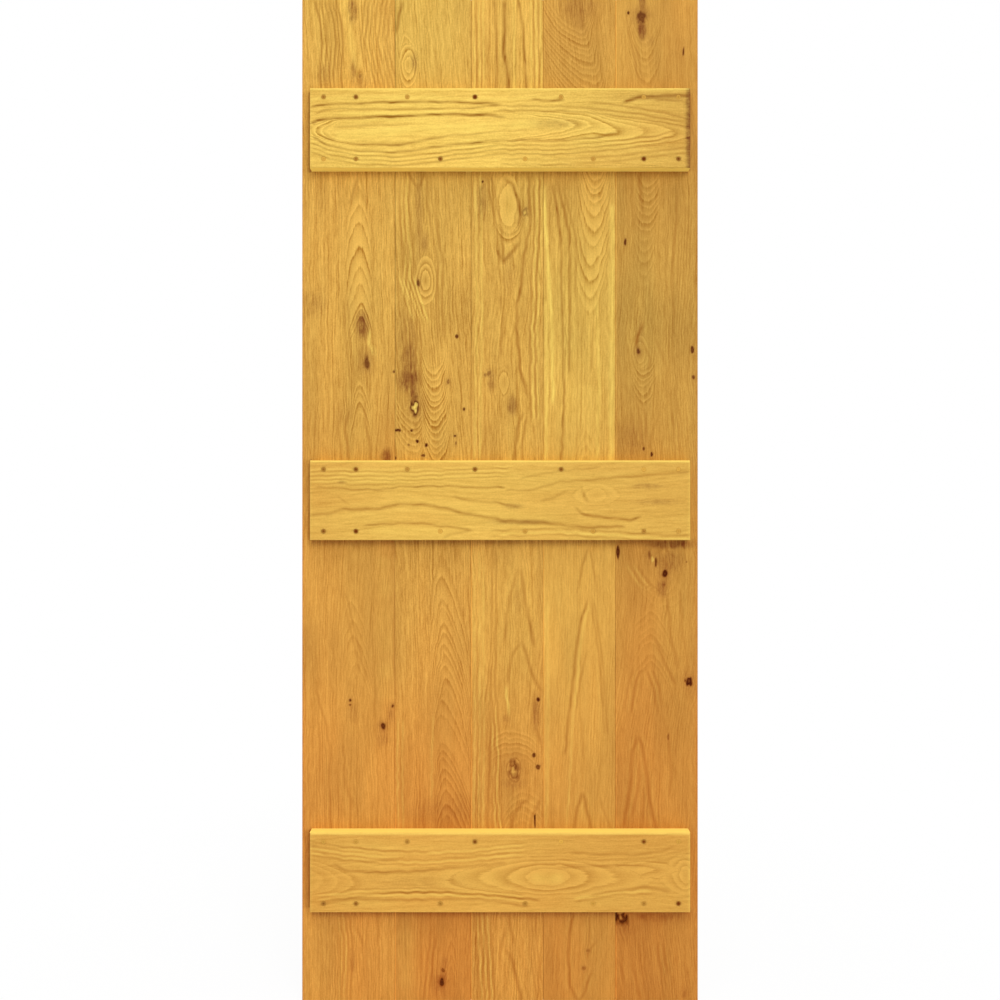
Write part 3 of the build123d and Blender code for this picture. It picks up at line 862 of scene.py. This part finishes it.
def makeBoard(node, wood, index, material):
    low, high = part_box(node)
    isFirst, isLast = index == 0, index == len(boards) - 1
    section = boardSection(low, high, isFirst, isLast)
    rows = boardRows(wood)
    count, lines = len(section), len(rows)
    heights = cadHigh.z - rows * pixel
    x = np.tile(section[:, 0], lines)
    y = np.tile(section[:, 1], lines)
    z = np.repeat(heights, count)
    faceLeft = low.x + (0 if isFirst else boardShape["tongueLength"] * mm)
    faceRight = high.x - (0 if isLast else boardShape["grooveDepth"] * mm)
    isFront, isBack = y == low.y, y == high.y
    points = np.stack([x, y, z], 1)
    faces = []
    for j in range(lines - 1):
        upper, lower = j * count, (j + 1) * count
        for i in range(count):
            n = (i + 1) % count
            faces.append((lower + i, lower + n, upper + n, upper + i))
    sizes = np.linalg.norm(np.roll(section, -1, axis=0) - section, axis=1)
    around = np.concatenate([[0], np.cumsum(sizes)]) / sizes.sum()
    side = np.stack([around[:-1], around[1:], around[1:], around[:-1]], 1)
    uv = []
    for j in range(lines - 1):
        upper, lower = ((1 - row / photoHeight) * boardUv["body"] for row in rows[j:j + 2])
        uv.append(np.stack([side, np.tile([lower, lower, upper, upper], (count, 1))], 2).reshape(-1, 2))
    for isTop, row in ((True, 0), (False, lines - 1)):
        added, turned = capFaces(section, row * count, len(points), isTop, faceLeft, faceRight)
        at = np.array([(p[0], p[1], heights[row]) for p in added])
        points = np.concatenate([points, at])
        faces += turned
        for face in turned:
            place = (points[face][:, :2] - section.min(0)) / np.ptp(section, axis=0)
            shift = boardUv["body"] + boardUv["topCap" if isTop else "bottomCap"]
            uv.append(np.stack([place[:, 0], shift + boardUv["capHeight"] * place[:, 1]], 1))
    across, along = photoX(points[:, 0]), photoY(points[:, 2])
    fields = growWood(wood, across, along, (points[:, 1] - low.y) / pixel, False)
    for key in ("warmth", "contrast", "bright"):
        fields[key] = np.interp(along, toneRows, wood[key])
    fields["grainAndHighlight"] = fields["grainAndHighlight"] * np.clip(0.7 + 0.3 * fields["contrast"], 0, 1)
    # Shade painted on the boards under the ledges and beside their ends
    for ledge, values in ledges.items():
        ledgeLow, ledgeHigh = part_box(ledge)
        left, right = photoX(ledgeLow.x), photoX(ledgeHigh.x)
        top, bottom = photoY(ledgeHigh.z), photoY(ledgeLow.z)
        isUnder = (across > left) & (across < right) & (along > bottom - paintedShadeShape["above"])
        under = np.where(isUnder, np.exp(-(((along - bottom) / values["paintedShadeReach"]) ** 2)), 0)
        beyond = np.clip(left - paintedShadeShape["gap"] - across, 0, None)
        near = values["sideShade"] * np.exp(-((beyond / paintedShadeShape["sideReach"]) ** 2))
        wide = values["wideShade"] * np.exp(-(((left - across) / paintedShadeShape["wideReach"]) ** 2))
        near = np.maximum(near, wide) * (across < left)
        far = values["endShade"] * np.exp(-(((across - right) / paintedShadeShape["endReach"]) ** 2))
        level = (along > top) & (along < bottom)
        paintedShade = np.maximum(values["paintedShade"] * under, np.where(level, np.maximum(near, far), 0))
        paintedShade = paintedShade * (points[:, 1] < low.y + 1e-4)
        fields["stainAndShade"] = np.maximum(fields["stainAndShade"], paintedShade)
    drift = patch("drift", wood, across, along)
    edge = np.clip(1 - (cadHigh.x - np.abs(points[:, 0])) / (boardShape["warmEdge"] * mm), 0, 1)
    cloud = patch("cloud", wood, across, along) + 0.6 * patch("cloudlet", wood, across, along)
    fields["warmth"] = np.clip(fields["warmth"] + 0.1 * drift + 0.25 * edge, 0, 1)
    fields["bright"] = fields["bright"] * (1 + 0.07 * cloud)
    # Light painted on the left arris of each board, as a factor on its brightness
    onSeam = (points[:, 0] > faceLeft - 1e-5) & (points[:, 0] < faceLeft + boardShape["seamWidth"] * mm)
    onSeam = onSeam & (points[:, 1] < low.y + boardShape["seamDepth"] * mm)
    fields["bright"] = fields["bright"] * np.where(onSeam, np.interp(along, toneRows, wood["seamLight"]), 1)
    depth = grainRelief(fields, boardShape["relief"])
    end = np.minimum(along, photoHeight - along) * pixel
    depth[:len(x)] += np.clip(boardShape["endArris"] * mm - end[:len(x)], 0, None)
    points[:len(x), 1] += np.where(isFront, depth[:len(x)], 0) - np.where(isBack, depth[:len(x)], 0)
    piece = newMesh("oak_" + node, points, faces, fields, np.concatenate(uv), material)
    dress(piece, node)
    print("board", node, len(points), "points,", len(faces), "faces")


# The three ledges, whose grain runs across: the left of an arch is its upper side here. warmth and bright
# hold at toneColumns. bold is how deep the grain is cut. plugs gives how dark each plug is, the upper row
# from left to right and then the lower. Shade is painted on the boards round a ledge: paintedShade and
# paintedShadeReach under it, sideShade and wideShade at its left end, endShade at its right. underLight
# paints the ledge's underside pale at 1 and in shade at 0, and endHighlight paints a highlight on its right
# edge.
topLedge = dict(
    lean=[(311, 129), (420, 131), (520, 128), (600, 127), (690, 134)],
    ring=4.8, wander=2.0, flank=0.3, seed=67, warmth=[-0.12, -0.2, -0.26, -0.1, 0.13], contrast=0.78,
    bright=[1.22, 1.3, 1.31, 1.165, 1.01], bold=1.0, endShade=0.5, paintedShade=0.5, paintedShadeReach=3, sideShade=0.75,
    wideShade=0.2, underLight=1.0, endHighlight=0.0,
    arches=[
        ([(311, 131), (335, 132)], [303, 309, 315, 322], (12, -24), (11, -24), 0.9),
        ([(540, 126), (590, 125), (613, 131), (672, 133)], [572, 588, 613, 643, 671], (12, 62), (14, 64),
         1.0),
    ],
    eyes=[],
    lines=[
        (-0.75, 1.2, [0], [(309, 107), (330, 105), (390, 103), (470, 103), (500, 105)]),
        (-0.5, 1.0, [0], [(315, 115), (325, 110.5), (342, 109), (382, 110.5), (425, 110.5), (460, 109.5),
                          (500, 106)]),
        (-0.85, 1.4, [0], [(309, 124), (318, 121), (330, 119), (400, 117), (450, 114.5), (490, 116),
                           (506, 119)]),
        (-0.4, 1.4, [0], [(336, 128), (365, 126), (400, 126), (417, 125)]),
        (0.6, 5.0, [0], [(335, 137), (370, 134), (420, 130), (540, 126)]),
        (-0.6, 1.2, [0], [(322, 137), (337, 142), (362, 145), (400, 146), (425, 141), (450, 136),
                          (500, 132), (530, 131)]),
        (-0.6, 1.2, [0], [(312, 136), (325, 145), (350, 151), (387, 153.5), (412, 152), (437, 147.5),
                          (475, 143), (525, 141), (562, 141), (600, 138), (616, 133)]),
        (-0.45, 1.1, [0, 4.4, 8.6], [(309, 142), (330, 151), (362, 156), (400, 158), (430, 155),
                                     (462, 150), (500, 146), (562, 146), (600, 143), (655, 137),
                                     (670, 133)]),
        (0.3, 1.0, [-2.1, 2.2, 6.5], [(309, 142), (330, 151), (362, 156), (400, 158), (430, 155),
                                      (462, 150), (500, 146), (562, 146), (600, 143), (655, 137),
                                      (670, 133)]),
        (-0.35, 1.1, [0, 5], [(500, 160), (560, 160), (612, 157), (655, 152), (692, 148)]),
        (-0.5, 1.1, [0, 4.5], [(490, 107), (560, 107), (600, 110), (640, 115), (692, 125)]),
        (-0.45, 1.1, [0], [(590, 103), (620, 106), (660, 113), (692, 121)]),
        (-0.8, 1.7, [0], [(622, 103), (640, 98), (692, 96)]), (-0.5, 1.3, [0], [(655, 101), (692, 103)]),
        (-0.85, 1.3, [0], [(530, 100), (545, 101), (564, 101)]),
        (0.5, 1.4, [0], [(311, 99), (400, 98), (500, 100), (560, 97)]),
        (0.5, 1.4, [0], [(340, 114), (420, 113.5), (500, 110)]),
        (0.4, 1.2, [0], [(345, 122), (400, 121), (450, 118)]),
    ],
    knots=[],
    # The stain at (690, 131) is painted shade at the ledge's right end
    stainsAndShade=[(660, 98, 26, 3, 0.25), (555, 124, 18, 4, 0.3), (690, 131, 3.0, 70, 1.3)],
    plugs=[0.5, 0.75, 0.2, 1.0, 0.15, 0.15, 0.2, 0.05, 0.5, 0.75, 0.05, 0.25, 1.0, 0.8],
)
middleLedge = dict(
    lean=[(311, 514), (400, 505), (470, 512), (560, 520), (690, 512)],
    ring=5.6, wander=3.0, flank=0.3, seed=71, warmth=[0.2, 0.03, 0.04, 0.1, 0.12], contrast=0.55,
    bright=[1.055, 1.135, 1.135, 1.06, 1.03], bold=0.6, endShade=0.0, paintedShade=0.65, paintedShadeReach=4.6,
    sideShade=0.6, wideShade=0.2, underLight=0.0, endHighlight=0.35, arches=[],
    eyes=[(596, 495, 9, 6, 4.5, 2, 0.6)],
    lines=[
        (0.4, 0.8, [0, 4, 8.5, 12], [(309, 470), (350, 469.5), (410, 470), (460, 468), (520, 466)]),
        (-0.3, 0.8, [2, 6.3, 10.4], [(309, 470), (350, 469.5), (410, 470), (460, 468), (510, 466)]),
        (-0.35, 0.9, [0], [(320, 484), (380, 485), (440, 481), (520, 478), (545, 473), (600, 467)]),
        (-0.6, 1.1, [0], [(315, 487), (345, 489), (378, 490), (400, 487), (440, 486), (475, 488),
                          (505, 487)]),
        (-0.4, 1.1, [0], [(337, 496), (343, 501), (350, 505)]),
        (-0.65, 1.7, [0], [(309, 515), (330, 514), (345, 509), (380, 509), (392, 505), (420, 504),
                           (440, 507), (460, 513), (480, 516), (505, 521), (540, 522), (575, 527),
                           (625, 527)]),
        (-0.55, 1.2, [0], [(364, 526), (380, 524), (420, 523), (450, 527), (472, 530)]),
        (-0.4, 1.2, [0], [(442, 539), (452, 534), (472, 531)]),
        (0.2, 3.0, [0], [(370, 531), (410, 529), (445, 532)]),
        (-0.5, 1.2, [0], [(453, 497), (470, 501), (500, 503), (520, 508)]),
        (-0.4, 1.1, [0], [(505, 490), (530, 490), (560, 482), (600, 479), (635, 476), (692, 472)]),
        (-0.45, 1.3, [0], [(540, 501), (556, 497), (568, 490)]),
        (-0.65, 1.3, [0], [(575, 507), (580, 513), (600, 517), (630, 520), (640, 516)]),
        (-0.5, 1.4, [0], [(580, 484), (583, 494), (588, 502)]),
        (-0.35, 1.0, [0, 6], [(490, 531), (550, 528), (600, 531), (692, 536)]),
        (0.4, 1.3, [0], [(500, 534), (560, 532), (692, 540)]),
    ],
    knots=[],
    stainsAndShade=[
        (342, 482, 3, 1.2, 0.6), (648, 486, 12, 2.2, 0.4), (657, 502, 16, 2.2, 0.35),
        (520, 522, 22, 2.2, 0.35), (514, 506, 7, 2.2, 0.35),
    ],
    plugs=[0.6, 0.8, 0.35, 0.75, 0.75, 0.0, 0.0, 0.75, 1.0, 0.0, 0.25, 0.25, 0.5, 0.2],
)
bottomLedge = dict(
    lean=[(311, 886), (400, 880), (547, 876), (690, 876)],
    ring=4.8, wander=2.0, flank=0.3, seed=83, warmth=[0.43, 0.33, 0.34, 0.41, 0.41], contrast=0.5,
    bright=[1.003, 1.055, 1.025, 0.98, 0.977], bold=0.7, endShade=0.1, paintedShade=1.0, paintedShadeReach=8.0,
    sideShade=0.8, wideShade=0.6, underLight=0.0, endHighlight=0.35,
    arches=[
        ([(322, 880), (350, 882)], [322, 337, 351], (17, 30), (13, 22), 0.5),
        ([(447, 879), (500, 877)], [447, 477], (14, -48), (14, -44), 0.9),
        ([(600, 875), (650, 869)], [603, 650], (9, 46), (10, 50), 0.9),
    ],
    eyes=[(547.5, 876.5, 20.5, 8, 4.2, 2.7, 1.0), (685, 874, 5, 8, 3.8, 2.7, 0.9)],
    lines=[
        (-0.45, 1.2, [0], [(309, 843), (345, 847), (380, 851), (430, 852)]),
        (-0.3, 0.8, [0, 4.6, 9.2, 13.8], [(309, 840), (345, 846), (385, 850), (430, 850), (475, 847),
                                          (525, 842)]),
        (0.3, 0.8, [2.3, 6.9, 11.5], [(309, 840), (345, 846), (385, 850), (430, 850), (475, 847),
                                      (525, 842)]),
        (-0.28, 0.8, [0, 4, 8], [(318, 893), (360, 889), (420, 887), (470, 889), (525, 894)]),
        (0.25, 0.8, [2, 6], [(318, 893), (360, 889), (420, 887), (470, 889), (525, 894)]),
        (-0.28, 0.8, [0, 5], [(560, 858), (600, 860), (640, 859), (665, 854), (692, 847)]),
        (-0.4, 1.2, [0], [(320, 852), (345, 860), (400, 861)]),
        (-0.55, 1.3, [0], [(333, 863), (350, 871), (385, 872), (420, 870), (470, 866), (505, 862)]),
        (-0.4, 1.2, [0], [(380, 858), (450, 856), (510, 852)]),
        (-0.55, 1.2, [0], [(330, 898), (400, 892), (440, 891), (480, 893), (510, 897), (540, 899)]),
        (-0.45, 1.2, [0], [(318, 904), (345, 899), (400, 899), (470, 898), (510, 903), (530, 906)]),
        (-0.45, 1.2, [0], [(570, 852), (600, 854), (640, 854), (660, 851), (675, 845)]),
        (-0.35, 1.1, [0], [(560, 866), (600, 866), (645, 866)]),
        (-0.55, 1.3, [0], [(590, 895), (620, 890), (645, 886), (670, 891)]),
        (-0.4, 1.2, [0], [(575, 901), (620, 894), (655, 893)]),
        (0.4, 1.4, [0], [(575, 898), (620, 892), (650, 890)]),
        (0.3, 4.5, [0], [(532, 877), (548, 877), (563, 877)]),
        (0.14, 9, [0], [(345, 853), (420, 852), (515, 852)]),
        (0.35, 1.4, [0], [(330, 895), (400, 895), (470, 895)]),
    ],
    knots=[],
    stainsAndShade=[(415, 881, 36, 6, 0.16)],
    plugs=[0.2, 0.25, 0.5, 0.8, 0.0, 0.85, 0.2, 0.7, 0.7, 0.5, 0.5, 0.25, 0.5, 1.0],
)
ledges = dict(top_ledge=topLedge, middle_ledge=middleLedge, bottom_ledge=bottomLedge)
toneColumns = [320, 400, 485, 580, 680]

# Ledges: a face with holes for the plugs, softened edges and plain ends. shine (a painted highlight along the
# top of the face), rimStain and the painted highlights on the top and the edges are shares, relief is cut
# less where bold is small, and the rest is in millimetres or counts.
ledgeShape = dict(columnStep=4.5, rowStep=1.5, soften=2.0, softSteps=3, sideSteps=4, relief=0.3,
                  holeRadius=4.85, holeDepth=10.0, holePoints=28, plugRadius=4.75, plugLength=9.8,
                  plugChamfer=0.45, plugSink=0.12, shine=0.6, shineReach=2.4, rimStain=0.4, rimReach=1.0,
                  fadeReach=3.0, topHighlight=1.5, topEdgeHighlight=0.6, edgeHighlight=0.15)
# Shares of the bake's height for the face, the sides and the back
ledgeUv = dict(face=0.36, faceSpan=0.63, side=0.34, sideSpan=0.2, back=0.01, backSpan=0.1)
# The ledges' faces stand nearer to the eye than the boards do, so places on them spread from its level
seen = dict(level=482, spread=1.0123)


# Middles of a ledge's plugs in the CAD, the upper row from left to right and then the lower
def plugPlaces(node):
    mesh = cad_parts[node + "_plugs"].data
    co = np.array([v.co for v in mesh.vertices])
    face = co[co[:, 1] < co[:, 1].min() + 1e-5]
    across = 2 * ledgeShape["plugRadius"] * mm + 1e-4
    places = []
    for x, _, z in face:
        near = [p for p in places if math.hypot(p[0][0] - x, p[0][1] - z) < across]
        if near:
            near[0].append((x, z))
        else:
            places.append([(x, z)])
    middles = [tuple((np.min(p, axis=0) + np.max(p, axis=0)) / 2) for p in places]
    half = (max(z for _, z in middles) + min(z for _, z in middles)) / 2
    return sorted(middles, key=lambda p: (p[1] < half, p[0]))


def makeLedge(node, wood, material):
    low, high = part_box(node)
    s = ledgeShape
    soft = s["soften"] * mm
    x0, x1, z0, z1 = low.x + soft, high.x - soft, low.z + soft, high.z - soft
    xs = np.linspace(x0, x1, round((x1 - x0) / (s["columnStep"] * mm)) + 1)
    zs = np.linspace(z0, z1, round((z1 - z0) / (s["rowStep"] * mm)) + 1)
    bottom = [(x, z0) for x in xs[:-1]]
    right = [(x1, z) for z in zs[:-1]]
    top = [(x, z1) for x in xs[:0:-1]]
    left = [(x0, z) for z in zs[:0:-1]]
    rim = bottom + right + top + left
    places = plugPlaces(node)
    radius, count = s["holeRadius"] * mm, s["holePoints"]
    turn = 2 * math.pi / count
    ring = [(radius * math.cos(i * turn), radius * math.sin(i * turn)) for i in range(count)]
    circles = [[(px + x, pz + z) for x, z in ring] for px, pz in places]
    grid = np.array([(x, z) for x in xs[1:-1] for z in zs[1:-1]])
    for px, pz in places:
        grid = grid[np.hypot(grid[:, 0] - px, grid[:, 1] - pz) > radius + 0.5 * mm]
    ringed = [p for c in circles for p in c]
    flat = rim + ringed + [tuple(p) for p in grid]
    edges = [(i, (i + 1) % len(rim)) for i in range(len(rim))]
    for c in range(len(circles)):
        first = len(rim) + c * count
        edges += [(first + i, first + (i + 1) % count) for i in range(count)]
    verts, _, cells, sources, _, _ = delaunay_2d_cdt([Vector(p) for p in flat], edges, [], 1, 1e-8)
    order = {source[0]: i for i, source in enumerate(sources) if source}
    points = [(v[0], low.y, v[1]) for v in verts]
    middles = np.array(places)
    faces, uv = [], []
    width, height = high.x - low.x, high.z - low.z

    def frontUv(i):
        up = (points[i][2] - low.z) / height
        return ((points[i][0] - low.x) / width, ledgeUv["face"] + ledgeUv["faceSpan"] * up)

    for cell in cells:
        centre = np.mean([(points[i][0], points[i][2]) for i in cell], axis=0)
        if np.min(np.hypot(*(middles - centre).T)) < radius * 0.99:
            continue
        faces.append(list(cell))
        uv += [frontUv(i) for i in cell]
    frontCount = len(points)
    # Round the edges, then run the sides back to the boards
    outline = [order[i] for i in range(len(rim))]
    levels = []
    for k in range(1, s["softSteps"] + 1):
        angle = k * math.pi / 2 / s["softSteps"]
        levels.append((soft * math.sin(angle), soft * (1 - math.cos(angle))))
    thickness = high.y - low.y
    for k in range(1, s["sideSteps"] + 1):
        levels.append((soft, soft + (thickness - soft) * k / s["sideSteps"]))
    inner = outline
    for level, (out, back) in enumerate(levels):
        outer = []
        for i in outline:
            x, _, z = points[i]
            dx = (x > x1 - 1e-6) - (x < x0 + 1e-6)
            dz = (z > z1 - 1e-6) - (z < z0 + 1e-6)
            outer.append(len(points))
            points.append((x + dx * out, low.y + back, z + dz * out))
        v = [ledgeUv["side"] - ledgeUv["sideSpan"] * (level + step) / len(levels) for step in (0, 1)]
        for i in range(len(outline)):
            n = (i + 1) % len(outline)
            faces.append([inner[i], outer[i], outer[n], inner[n]])
            u = [i / len(outline), (i + 1) / len(outline)]
            uv += [(u[0], v[0]), (u[0], v[1]), (u[1], v[1]), (u[1], v[0])]
        inner = outer
    faces.append(inner[::-1])
    for i in inner[::-1]:
        up = (points[i][2] - low.z) / height
        uv.append(((points[i][0] - low.x) / width, ledgeUv["back"] + ledgeUv["backSpan"] * up))
    # Walls and floors of the plug holes
    for c, (px, pz) in enumerate(places):
        first = len(rim) + c * count
        mouth = [order[first + i] for i in range(count)]
        floor = list(range(len(points), len(points) + count))
        points += [(points[i][0], low.y + s["holeDepth"] * mm, points[i][2]) for i in mouth]
        up = (pz - low.z) / height
        hub = np.array(((px - low.x) / width, ledgeUv["face"] + ledgeUv["faceSpan"] * up))
        for i in range(count):
            n = (i + 1) % count
            faces.append([mouth[i], mouth[n], floor[n], floor[i]])
            near, far = np.array(frontUv(mouth[i])), np.array(frontUv(mouth[n]))
            uv += [near, far, (far + hub) / 2, (near + hub) / 2]
        faces.append(floor)
        uv += [(np.array(frontUv(i)) + hub) / 2 for i in mouth]
    points = np.array(points)
    across = seen["level"] + (photoY(points[:, 2]) - seen["level"]) * seen["spread"]
    along = photoMiddle + (photoX(points[:, 0]) - photoMiddle) * seen["spread"]
    fields = growWood(wood, across, along, (points[:, 1] - low.y) / pixel, True)
    drift = patch("ledgeDrift", wood, along, across)
    fields["warmth"] = np.interp(along, toneColumns, wood["warmth"]) + 0.1 * drift
    fields["bright"] = np.interp(along, toneColumns, wood["bright"])
    fields["contrast"] = np.full(len(points), wood["contrast"])
    fields["grainAndHighlight"] = fields["grainAndHighlight"] * np.clip(0.7 + 0.3 * fields["contrast"], 0, 1)
    # Painted highlights on the edges, along the top of the face and on the upper side, and the underside
    # painted pale on the top ledge and in shade on the others; the grain fades out where it meets a plug
    isFace = np.arange(len(points)) < frontCount
    onRim = np.zeros(len(points), bool)
    onRim[outline] = True
    isEdge = onRim | (~isFace & (points[:, 1] < low.y + 2 * soft))
    sunny = np.where(points[:, 0] > x1, wood["endHighlight"], s["edgeHighlight"])
    sunny = np.where(points[:, 2] > z1, s["topEdgeHighlight"], sunny)
    fields["grainAndHighlight"] = fields["grainAndHighlight"] + np.where(isEdge, sunny, 0)
    # A painted highlight along the top of the face
    shine = s["shine"] * np.exp(-(((z1 - points[:, 2]) / (s["shineReach"] * mm)) ** 2))
    fields["grainAndHighlight"] = fields["grainAndHighlight"] + np.where(isFace, shine, 0)
    # Painted highlight on the upper side; the underside is painted pale on the top ledge and in shade on the
    # others
    isTop = ~isFace & (points[:, 2] > high.z - 1e-6)
    isUnder = ~isFace & (points[:, 2] < low.z + 1e-6)
    fields["grainAndHighlight"] = np.where(isTop, s["topHighlight"], fields["grainAndHighlight"])
    fields["grainAndHighlight"] = np.where(isUnder, wood["underLight"], fields["grainAndHighlight"])
    fields["stainAndShade"] = np.where(isUnder, 0.5 * (1 - wood["underLight"]), fields["stainAndShade"])
    depth = grainRelief(fields, s["relief"] * wood["bold"])
    away = np.array([np.hypot(points[:, 0] - px, points[:, 2] - pz) for px, pz in places])
    nearest = np.min(away, axis=0)
    stained = np.array(wood["plugs"])[np.argmin(away, axis=0)]
    stained = stained * np.exp(-(((nearest - radius) / (s["rimReach"] * mm)) ** 2))
    fields["stainAndShade"] = np.maximum(fields["stainAndShade"], np.where(isFace, s["rimStain"] * stained, 0))
    depth = depth * np.clip((nearest - radius) / (s["fadeReach"] * mm), 0, 1)
    points[:, 1] += np.where(isFace & ~onRim, depth, 0)
    piece = newMesh("oak_" + node, points, faces, fields, uv, material)
    dress(piece, node)
    print("ledge", node, len(points), "points,", len(faces), "faces")
    return places


# Shares of the bake's square: a place for each plug, in rows
plugUv = dict(perRow=7, margin=0.02, column=0.135, row=0.52, size=(0.13, 0.46))


def makePlugs(node, wood, places, material):
    low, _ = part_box(node)
    s = ledgeShape
    count, turn = s["holePoints"], 2 * math.pi / s["holePoints"]
    radius, chamfer = s["plugRadius"] * mm, s["plugChamfer"] * mm
    sink = s["plugSink"] * mm
    levels = [(radius * 0.45, sink * 0.4), (radius - chamfer, sink), (radius, sink + chamfer)]
    levels.append((radius, s["plugLength"] * mm))
    points, faces, uv, ring, darkness = [], [], [], [], []
    for number, ((px, pz), tone) in enumerate(zip(places, wood["plugs"])):
        row, column = divmod(number, plugUv["perRow"])
        corner = np.array((plugUv["margin"] + plugUv["column"] * column, plugUv["row"] * row))
        first = len(points)
        points.append((px, low.y + sink * 0.3, pz))
        ring.append(0.0)
        spots = [(0.5, 0.5)]
        for level, (r, back) in enumerate(levels):
            for i in range(count):
                points.append((px + r * math.cos(i * turn), low.y + back, pz + r * math.sin(i * turn)))
                ring.append(r / radius * 1.4)
                reach = 0.3 if level == 0 else 0.36 + 0.04 * level
                spots.append((0.5 + reach * math.cos(i * turn), 0.5 + reach * math.sin(i * turn)))
        spots = corner + np.array(spots) * plugUv["size"]
        made = [[first, first + 1 + i, first + 1 + (i + 1) % count] for i in range(count)]
        for level in range(len(levels) - 1):
            a, b = first + 1 + level * count, first + 1 + (level + 1) * count
            made += [[a + i, b + i, b + (i + 1) % count, a + (i + 1) % count] for i in range(count)]
        last = first + 1 + (len(levels) - 1) * count
        made.append([last + i for i in reversed(range(count))])
        faces += made
        for face in made:
            uv += [spots[i - first] for i in face]
        darkness += [tone] * (1 + len(levels) * count)
    points = np.array(points)
    none = np.zeros(len(points))
    fields = {key: none for keys in attributeParts.values() for key in keys}
    fields.update(ring=np.array(ring), contrast=np.array(darkness), bold=none)
    piece = newMesh("oak_" + node + "_plugs", points, faces, fields, uv, material)
    dress(piece, node + "_plugs")
    print("plugs", node, len(places))


boardOak, ledgeOak, plugOak, steel = makeOak(oakBoard), makeOak(oakLedge), makePlug(), makeSteel()
for index, (node, wood) in enumerate(boards.items()):
    makeBoard(node, wood, index, boardOak)
for node, wood in ledges.items():
    makePlugs(node, wood, makeLedge(node, wood, ledgeOak), plugOak)
    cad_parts[node + "_screws"].data.materials.clear()
    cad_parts[node + "_screws"].data.materials.append(steel)

# Pale floor and white surroundings. The camera sees them white, and the light that they give stays plain.
studio = dict(floorSize=14.0, floorColour=(236, 234, 230), floorPale=(244, 243, 240), worldLevel=0.52,
              shadowShare=0.09, shadowReach=1.6)


def makeFloor():
    finish = Finish(bpy.data.materials.new("paleFloor"))
    grain = finish.noise(finish.scaled((3, 3, 3)), 2.0, 0.5)
    pale = finish.mix(grain, colour(*studio["floorColour"]), colour(*studio["floorPale"]))
    finish.shade(Base_Color=pale, Roughness=0.9)
    here = finish.scaled((1, 1, 1))
    away = finish.add("ShaderNodeVectorMath", dict(operation="LENGTH"), {0: here}, "Value")
    shadow = (1 - away / studio["shadowReach"]).clipped() * studio["shadowShare"]
    finish.split("Material Output", finish.add("ShaderNodeEmission", {}, {}), 1 - shadow)
    half = studio["floorSize"] / 2
    mesh = bpy.data.meshes.new("floor")
    corners = [(-half, -half, 0), (half, -half, 0), (half, half, 0), (-half, half, 0)]
    mesh.from_pydata(corners, [], [(0, 1, 2, 3)])
    mesh.materials.append(finish.owner)
    floor = bpy.data.objects.new("floor", mesh)
    bpy.context.scene.collection.objects.link(floor)
    floor.location.z = cadLow.z - 0.2 * mm


def makeWorld():
    bpy.context.scene.world = bpy.data.worlds.new("studio")
    finish = Finish(bpy.context.scene.world, "Background")
    white = (1, 1, 1, 1)
    finish.shade(Color=white, Strength=studio["worldLevel"])
    finish.split("World Output", finish.add("ShaderNodeBackground", {}, dict(Color=white, Strength=1.0)))


# A broad lamp on the right in front, so that the ledges throw soft, short shadows down and to the left,
# and a weaker one overhead for their upper edges. Angles are in degrees.
lamps = dict(key=dict(height=30, right=24, spread=30, strength=1.06),
             overhead=dict(height=75, right=10, spread=40, strength=1.25))


def makeLamp(name, lamp):
    data = bpy.data.lights.new(name, "SUN")
    data.energy, data.angle = lamp["strength"], math.radians(lamp["spread"])
    light = bpy.data.objects.new(name, data)
    bpy.context.scene.collection.objects.link(light)
    light.rotation_euler = (math.radians(90 - lamp["height"]), 0, math.radians(lamp["right"]))
    light.location = (1.5, -3, 4)


# A level camera, a little above the middle, so that upright edges stay upright. The leaf fills the height
# of the picture, and overfill millimetres of it are left out.
camera = dict(lens=35.0, sensor=36.0, shift=-0.018, overfill=4.0)


def makeCamera():
    data = bpy.data.cameras.new("camera")
    data.lens, data.sensor_width, data.shift_y = camera["lens"], camera["sensor"], camera["shift"]
    eye = bpy.data.objects.new("camera", data)
    bpy.context.scene.collection.objects.link(eye)
    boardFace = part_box("middle_board")[0].y
    distance = (leafHeight - camera["overfill"] * mm) * camera["lens"] / camera["sensor"]
    eye.location = (0, boardFace - distance, cadLow.z + leafHeight * (0.5 - camera["shift"]))
    eye.rotation_euler = (math.radians(90), 0, 0)
    bpy.context.scene.camera = eye


makeFloor()
makeWorld()
for name, lamp in lamps.items():
    makeLamp(name, lamp)
makeCamera()
bpy.context.scene.view_settings.view_transform = "Standard"
print("studio ready")
